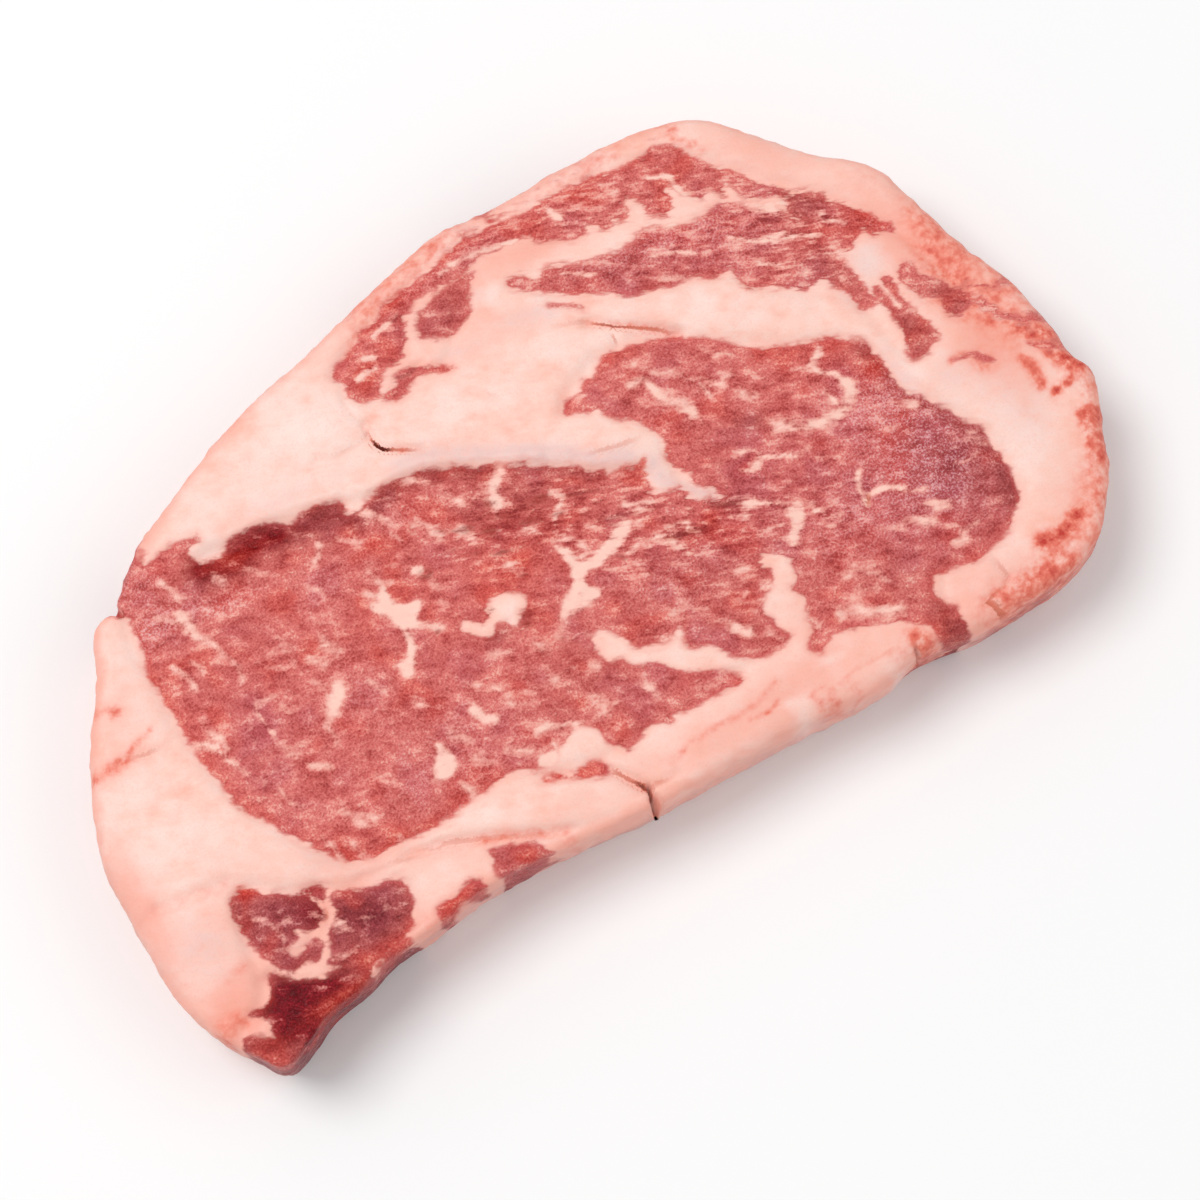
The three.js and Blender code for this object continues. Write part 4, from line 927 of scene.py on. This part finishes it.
def build_slice():
    """Vertices, faces, the plan point where each is painted, rim distances and face masks."""
    sides = outline_sides()
    widest = np.vstack([side[:-1] for side in sides])
    way = inward(widest[:, :2])
    face = patch([side[:, :2] + inward(side[:, :2]) * side[:, 2:3] for side in sides])
    index = np.arange(face.shape[0] * face.shape[1]).reshape(face.shape[:2])
    face = face.reshape(-1, 2)
    edge = border(index)

    flat = np.column_stack([face, np.full(len(face), THICKNESS)])
    masks = painted(face, flat, distance_to(face, widest[::2, :2], 12, closed=True))
    ground = face_relief(face)
    height = ground + THICKNESS - ground.max() + fine_relief(flat, masks)

    count = len(widest)
    angle = np.arange(count) * 2 * np.pi / count
    rings = wall_rings(widest[:, 2], height[edge], angle)
    foot = widest[:, :2] + way * rings[-1][0][:, None]
    vertices, paint, rims = [np.column_stack([face, height])], [face], []
    for inset, z in rings:
        rims.append(np.where(z > THICKNESS / 2, inset, 0).clip(0))
        vertices.append(np.column_stack([widest[:, :2] + way * inset[:, None], z]))
        sunk = (1 - z / THICKNESS).clip(0, 1)[:, None]
        paint.append(face[edge] * (1 - sunk) + foot * sunk)
    faces = quads(index)
    above, start = edge, len(face)
    for _ in rings:
        below = np.arange(start, start + count)
        faces += zip(below, np.roll(below, -1), np.roll(above, -1), above)
        above, start = below, start + count

    # The resting face: a coarser grid, stitched to every second point of the foot
    under_sides, first = [], 0
    for side in sides:
        picked = [(first + i) % count for i in range(0, len(side), 2)]
        under_sides.append(foot[picked] + way[picked] * UNDER_INSET)
        first += len(side) - 1
    under = patch(under_sides)
    under_index = start + np.arange(under.shape[0] * under.shape[1]).reshape(under.shape[:2])
    under = under.reshape(-1, 2)
    vertices.append(np.column_stack([under, np.zeros(len(under))]))
    paint.append(under)
    faces += [corners[::-1] for corners in quads(under_index)]
    under_edge = border(under_index)
    for k, (here, following) in enumerate(zip(under_edge, np.roll(under_edge, -1))):
        a, b, c = above[2 * k], above[2 * k + 1], above[(2 * k + 2) % count]
        faces += [(here, b, a), (here, following, b), (following, c, b)]
    rims.append(np.zeros(len(under)))
    return np.vstack(vertices), faces, np.vstack(paint), np.concatenate(rims), masks


def dress_wall(vertices, paint, face_count):
    """Uneven wall: the pattern of the cut face drifts and the surface ripples on the way down."""
    below = np.arange(face_count, len(vertices))
    places = vertices[below]
    sunk = (1 - places[:, 2] / THICKNESS).clip(0, 1)
    drift = np.column_stack([waves(places, DRIFT_SIZE, seed) for seed in (3, 4)])
    paint[below] += drift * (DRIFT * sunk)[:, None]
    wall = below[places[:, 2] > 0.05]
    stands = vertices[wall]
    ripple = RIPPLE * waves(stands * (1, 1, 1.6), RIPPLE_SIZE, 5, 3)
    ripple *= smoothstep(stands[:, 2], 0.2, 5)
    fade = 1 - smoothstep(stands[:, 2], THICKNESS - 4, THICKNESS - 0.5)
    vertices[wall, :2] += inward(stands[:, :2]) * (ripple * fade)[:, None]


def cut_notches(vertices):
    for tip, left, right, floor in NOTCHES:
        share = notch_share(vertices[:, :2], tip, left, right)
        high = vertices[:, 2] > floor
        vertices[high, 2] -= (share * (vertices[:, 2] - floor))[high]


def make_steak():
    vertices, faces, paint, rim, masks = build_slice()
    face_count = len(masks["lean"])
    dress_wall(vertices, paint, face_count)
    wall_masks = painted(paint[face_count:], vertices[face_count:], rim)
    # The painted shade and stain of a crease fade out down the wall
    deepest, highest = (THICKNESS - depth for depth in CREASE_FADE)
    wall_masks["crease_shade_and_stain"] *= smoothstep(vertices[face_count:, 2], deepest, highest)
    masks = {name: np.concatenate([masks[name], wall_masks[name]]) for name in masks}
    masks["depth"] = (1 - vertices[:, 2] / THICKNESS).clip(0, 1)
    cut_notches(vertices)
    low, high = vertices.min(0), vertices.max(0)
    cad_low, cad_high = (np.array(corner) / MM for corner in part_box("ribeye"))
    middle = (low + high) / 2
    middle[2] = low[2]
    scale = (cad_high - cad_low) / (high - low)
    placed = (vertices - middle) * scale + [*((cad_low + cad_high) / 2)[:2], cad_low[2]]

    mesh = bpy.data.meshes.new("ribeye_slice")
    mesh.from_pydata((placed * MM).tolist(), [], [tuple(map(int, f)) for f in faces])
    mesh.validate()
    mesh.shade_smooth()
    for name, values in masks.items():
        layer = mesh.attributes.new(name, "FLOAT", "POINT")
        layer.data.foreach_set("value", values.astype(np.float32))
    steak = bpy.data.objects.new("ribeye_slice", mesh)
    bpy.context.scene.collection.objects.link(steak)
    return steak, middle, scale


# ---------------------------------------------------------------- materials
def colour(red, green, blue):
    """A colour as seen on screen, 0 to 255, as the shader's linear value."""
    def linear(value):
        value /= 255
        return value / 12.92 if value <= 0.04045 else ((value + 0.055) / 1.055) ** 2.4
    return linear(red), linear(green), linear(blue), 1.0


NOISE_SPREAD = 0.139  # brings one octave of Blender's noise to about 1


class Shader:
    """Short names for the nodes of one material."""

    def __init__(self, name):
        self.material = bpy.data.materials.new(name)
        self.material.use_nodes = True
        self.tree = self.material.node_tree
        self.surface = self.tree.nodes["Principled BSDF"]
        place = self.tree.nodes.new("ShaderNodeTexCoord").outputs["Object"]
        node = self.tree.nodes.new("ShaderNodeVectorMath")
        node.operation = "SCALE"
        node.inputs["Scale"].default_value = 1 / MM
        self.put(node.inputs[0], place)
        self.place = node.outputs[0]

    def put(self, socket, value):
        if isinstance(value, bpy.types.NodeSocket):
            self.tree.links.new(value, socket)
        else:
            socket.default_value = value

    def vector(self, operation, a, b):
        node = self.tree.nodes.new("ShaderNodeVectorMath")
        node.operation = operation
        self.put(node.inputs[0], a)
        self.put(node.inputs[1], b)
        return node.outputs["Value" if operation == "DOT_PRODUCT" else "Vector"]

    def math(self, operation, a, b=0.0):
        node = self.tree.nodes.new("ShaderNodeMath")
        node.operation = operation
        self.put(node.inputs[0], a)
        self.put(node.inputs[1], b)
        return node.outputs[0]

    def total(self, *terms):
        """The sum of numbers and of (signal, weight) pairs."""
        result = None
        for term in terms:
            part = self.math("MULTIPLY", *term) if isinstance(term, tuple) else term
            result = part if result is None else self.math("ADD", result, part)
        return result

    def mask(self, name):
        node = self.tree.nodes.new("ShaderNodeAttribute")
        node.attribute_name = name
        return node.outputs["Fac"]

    def noise(self, size, octaves, rough, place=None):
        """Noise about 0 and mostly within 1, with features of the given size in millimetres."""
        node = self.tree.nodes.new("ShaderNodeTexNoise")
        self.put(node.inputs["Vector"], place or self.place)
        for socket, value in ("Scale", 1 / size), ("Detail", octaves - 1), ("Roughness", rough):
            self.put(node.inputs[socket], value)
        shares = [rough**k for k in range(octaves)]
        spread = NOISE_SPREAD * math.sqrt(sum(share**2 for share in shares)) / sum(shares)
        return self.math("DIVIDE", self.math("SUBTRACT", node.outputs["Fac"], 0.5), spread)

    def between(self, value, low, high, start=0.0, end=1.0):
        """A smooth step from start to end as value goes from low to high."""
        node = self.tree.nodes.new("ShaderNodeMapRange")
        node.interpolation_type = "SMOOTHSTEP"
        for socket, given in zip(("Value", "From Min", "From Max", "To Min", "To Max"),
                                 (value, low, high, start, end)):
            self.put(node.inputs[socket], given)
        return node.outputs["Result"]

    def ramp(self, value, *stops):
        """Colours at the given values, which lie between -2 and 2."""
        node = self.tree.nodes.new("ShaderNodeValToRGB")
        self.put(node.inputs[0], self.total((value, 0.25), 0.5))
        marks = node.color_ramp.elements
        while len(marks) < len(stops):
            marks.new(0.5)
        for mark, (at, shade) in zip(marks, stops):
            mark.position = at / 4 + 0.5
            mark.color = shade
        return node.outputs["Color"]

    def mix(self, share, a, b, blend="MIX"):
        node = self.tree.nodes.new("ShaderNodeMix")
        node.data_type = "RGBA"
        node.blend_type = blend
        node.clamp_factor = True
        self.put(node.inputs[0], share)
        self.put(node.inputs[6], a)
        self.put(node.inputs[7], b)
        return node.outputs[2]

    def blend(self, share, a, b):
        """A number between a and b."""
        node = self.tree.nodes.new("ShaderNodeMix")
        node.clamp_factor = True
        self.put(node.inputs[0], share)
        self.put(node.inputs[2], a)
        self.put(node.inputs[3], b)
        return node.outputs[0]


FIBRE_TURN = -25  # degrees from +X to the way the fibres run


def drawn_out(s, share):
    """Coordinates that change more slowly along the fibres."""
    cos, sin = math.cos(math.radians(FIBRE_TURN)), math.sin(math.radians(FIBRE_TURN))
    node = s.tree.nodes.new("ShaderNodeCombineXYZ")
    s.put(node.inputs[0], s.vector("DOT_PRODUCT", s.place, (share * cos, share * sin, 0)))
    s.put(node.inputs[1], s.vector("DOT_PRODUCT", s.place, (-sin, cos, 0)))
    s.put(node.inputs[2], s.vector("DOT_PRODUCT", s.place, (0, 0, 0.6)))
    return node.outputs[0]


def lean_colour(s, grain, bundles, streaky):
    """Red muscle: mottled bundles, fine grain, streaks along the fibres and painted highlights."""
    tone = s.total((s.mask("broad"), 0.26), (s.mask("clusters"), 0.34), (bundles, 0.42),
                   (grain, 0.42), (streaky, 0.55))
    plain = s.ramp(tone, (-2, colour(163, 60, 58)), (-1, colour(195, 87, 83)),
                   (0, colour(216, 112, 106)), (0.8, colour(228, 131, 122)),
                   (1.2, colour(236, 153, 141)), (1.8, colour(243, 184, 168)))
    dark = s.ramp(tone, (-2, colour(84, 4, 12)), (-0.6, colour(108, 8, 20)),
                  (0.4, colour(134, 14, 28)), (1.2, colour(158, 36, 46)),
                  (2, colour(190, 86, 90)))
    # The tail's maroon, and painted shade along creases, under the fat's edges and below the proud
    # chunk
    base = s.mix(s.mask("maroon_and_shade"), plain, dark)
    vivid = s.ramp(tone, (-2, colour(170, 24, 16)), (0, colour(212, 62, 46)),
                   (1.4, colour(238, 118, 92)))
    hue = s.noise(8, 2, 0.6)
    warm = s.total((s.mask("warm"), 0.55), s.between(hue, 0.2, 2, 0, 0.36))
    base = s.mix(warm, base, vivid)
    violet = s.total(s.mask("violet"), s.between(hue, -0.2, -2, 0, 0.5))
    base = s.mix(violet, base, colour(234, 222, 244), "MULTIPLY")
    # Painted highlight: pale glints over the lean's grain
    glint_share = s.between(s.total((grain, 0.7), (bundles, 0.3)), -0.6, 1.6, 0, 0.55)
    return s.mix(s.math("MULTIPLY", glint_share, s.mask("painted_glints")), base, colour(232, 180, 186))


def fat_colour(s, grain, bundles):
    """Pale fat: cream in the middle, pinker to the rim, silver skin, and blood in places."""
    soft = s.total((s.mask("broad"), 0.6), (s.mask("clusters"), 0.4), (bundles, 0.25))
    base = s.ramp(soft, (-2, colour(246, 182, 164)), (-0.5, colour(250, 202, 188)),
                  (0.6, colour(250, 212, 200)), (2, colour(251, 222, 213)))
    rosy = s.between(s.mask("rim"), 0, 3.6, 0.8, 0)
    rosy = s.math("MAXIMUM", rosy, s.total((s.mask("flush"), 0.95), (soft, 0.1)))
    base = s.mix(rosy, base, colour(244, 168, 150))
    clean = s.total((s.mask("pale"), 0.7), (soft, 0.14))
    base = s.mix(clean, base, colour(251, 227, 219))
    shiny = s.math("MULTIPLY", s.mask("silver"), s.total(0.72, (bundles, 0.12)))
    base = s.mix(shiny, base, colour(227, 193, 190))
    patchy = s.total(1, (s.noise(1.8, 3, 0.6), 0.26), (s.mask("clusters"), 0.16))
    soaked = s.math("MULTIPLY", s.mask("blood"), patchy)
    base = s.mix(s.between(soaked, 0, 0.8), base, colour(236, 128, 108))
    base = s.mix(s.between(soaked, 0.4, 1.5), base, colour(192, 58, 50))
    return s.mix(s.between(grain, 0, -2.2, 0, 0.14), base, colour(232, 150, 134))


def meat_material():
    s = Shader("raw_beef")
    grain = s.noise(0.42, 2, 0.6)
    bundles = s.noise(1.8, 3, 0.55, drawn_out(s, 0.55))
    fibres = s.noise(1, 3, 0.6, drawn_out(s, 0.25))
    streaky = s.math("MULTIPLY", fibres, s.mask("streaks"))
    lean, fat = lean_colour(s, grain, bundles, streaky), fat_colour(s, grain, bundles)

    # Marbling inside the lean
    marble = s.total(s.mask("marble"), (s.mask("clusters"), 0.1), (bundles, 0.16), (grain, 0.04),
                     (streaky, 0.22))
    vein = s.between(marble, 0.16, 0.95)
    vein_fat = s.mix(s.between(marble, 0.5, 1.25), colour(234, 162, 150), colour(248, 202, 188))
    # The edge of the lean is ragged, and both sides are tinted there
    rough_edge = s.total((bundles, 0.26), (grain, 0.05), (streaky, 0.42))
    calm = s.between(s.mask("depth"), 0.05, 0.4, 1, 0.4)
    edge = s.total(s.mask("lean"), (rough_edge, calm))
    is_lean = s.between(edge, -0.5, 0.45)
    lean = s.mix(s.between(edge, 1.6, 0.2, 0, 0.2), lean, colour(200, 76, 70))
    fat = s.mix(s.between(edge, -1.3, -0.2, 0, 0.4), fat, colour(240, 168, 154))
    red = s.math("MULTIPLY", is_lean, s.math("SUBTRACT", 1, vein))
    lean = s.mix(vein, lean, vein_fat)
    surface = s.mix(is_lean, fat, lean)

    # Creases and gaps between fibres: painted shade in the splits and gaps, with some stain along
    # the splits
    across = s.total(s.mask("crease"), (grain, 0.3), (bundles, 0.3))
    narrow = s.math("SUBTRACT", 1, s.math("MULTIPLY", across, across))
    line = s.math("MULTIPLY", s.between(narrow, -3, 0.8), s.mask("crease_shade_and_stain"))
    # Painted shade with some stain along each split, redder over the lean
    split_stain_and_shade = s.mix(red, colour(206, 104, 80), colour(128, 34, 32))
    surface = s.mix(s.between(line, 0.02, 0.8, 0, 0.8), surface, split_stain_and_shade)
    # Painted shade: the dark core of each split
    surface = s.mix(s.between(line, 0.7, 1.15), surface, colour(92, 24, 8))
    # Painted shade in the gaps between fibres
    ragged = s.math("MULTIPLY", s.mask("gap"), s.total(1, (grain, 0.15), (fibres, 0.5)))
    surface = s.mix(s.between(ragged, 0.15, 1, 0, 0.8), surface, colour(150, 40, 32))

    # The wall turns a darker, greyer skin colour towards the foot
    depth = s.mask("depth")
    # Where blood lies the wall skin turns darker purple-brown: blood, and painted shade on the
    # lower wall
    blood_and_shade_share = s.between(s.mask("blood"), 0.1, 0.6)
    fat_skin = s.mix(blood_and_shade_share, colour(222, 168, 160), colour(176, 100, 98))
    skin = s.mix(red, fat_skin, colour(124, 46, 54))
    skin = s.mix(s.between(fibres, 0.3, 2, 0, 0.4), skin, colour(222, 176, 180))
    patches = s.between(s.total((s.mask("broad"), 0.6), (bundles, 0.5)), -1, 1, 0.3, 1)
    wall = s.math("MULTIPLY", s.between(depth, 0.08, 0.6, 0, 0.85), patches)
    surface = s.mix(wall, surface, skin)
    s.put(s.surface.inputs["Base Color"], surface)

    s.put(s.surface.inputs["Roughness"], s.blend(red, 0.46, s.total(0.4, (bundles, 0.05))))
    s.surface.inputs["IOR"].default_value = 1.38
    s.surface.inputs["Specular IOR Level"].default_value = 0.22
    s.surface.inputs["Subsurface Weight"].default_value = 0.1
    s.surface.inputs["Subsurface Radius"].default_value = (1.0, 0.35, 0.25)
    s.surface.inputs["Subsurface Scale"].default_value = 0.0015

    lean_bumps = s.total((grain, 0.03), (bundles, 0.07), (streaky, 0.06))
    bump = s.tree.nodes.new("ShaderNodeBump")
    bump.inputs["Distance"].default_value = MM
    bump.inputs["Strength"].default_value = 1
    s.put(bump.inputs["Height"], s.blend(red, s.math("MULTIPLY", bundles, 0.015), lean_bumps))
    s.put(s.surface.inputs["Normal"], bump.outputs["Normal"])
    return s.material


def floor_material():
    s = Shader("studio_floor")
    s.surface.inputs["Base Color"].default_value = (0.93, 0.93, 0.93, 1)
    s.surface.inputs["Roughness"].default_value = 0.85
    return s.material


# ---------------------------------------------------------------- studio
CAMERA_AIM = (0.9, -15.7, 24.0)  # plan point on the cut face in the middle of the picture
CAMERA_AZIMUTH, CAMERA_ELEVATION = -32.5, 76.0
CAMERA_DISTANCE, CAMERA_LENS = 600.0, 100.0


def add_camera(middle, scale):
    aim = Vector((np.array(CAMERA_AIM) - middle) * scale) * MM
    turn, rise = math.radians(CAMERA_AZIMUTH), math.radians(CAMERA_ELEVATION)
    back = Vector((
        math.sin(turn) * math.cos(rise), -math.cos(turn) * math.cos(rise), math.sin(rise)
    ))
    data = bpy.data.cameras.new("camera")
    data.lens = CAMERA_LENS
    data.sensor_width = 36
    data.clip_start, data.clip_end = 0.01, 20
    camera = bpy.data.objects.new("camera", data)
    camera.location = aim + back * CAMERA_DISTANCE * MM
    camera.rotation_euler = (-back).to_track_quat("-Z", "Y").to_euler()
    bpy.context.scene.collection.objects.link(camera)
    bpy.context.scene.camera = camera


def add_light(name, place, size, power):
    data = bpy.data.lights.new(name, "AREA")
    data.shape = "DISK"
    data.size = size
    data.energy = power
    light = bpy.data.objects.new(name, data)
    light.location = place
    light.rotation_euler = (-Vector(place)).to_track_quat("-Z", "Y").to_euler()
    bpy.context.scene.collection.objects.link(light)


def add_studio():
    bpy.ops.mesh.primitive_plane_add(size=6)
    floor = bpy.context.object
    floor.name = "studio_floor"
    floor.data.materials.append(floor_material())
    world = bpy.data.worlds.new("studio")
    world.use_nodes = True
    world.node_tree.nodes["Background"].inputs["Color"].default_value = (1, 1, 1, 1)
    world.node_tree.nodes["Background"].inputs["Strength"].default_value = 0.56
    bpy.context.scene.world = world
    add_light("key", (-0.5, 0.55, 1.5), 0.9, 14)
    add_light("fill", (0.9, -0.7, 1.2), 1.2, 3.5)
    bpy.context.scene.view_settings.view_transform = "Standard"
    bpy.context.scene.view_settings.look = "None"


# ---------------------------------------------------------------- the scene
steak, middle, scale = make_steak()
steak.data.materials.append(meat_material())
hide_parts("ribeye")
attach(steak, "root")

add_camera(middle, scale)
add_studio()
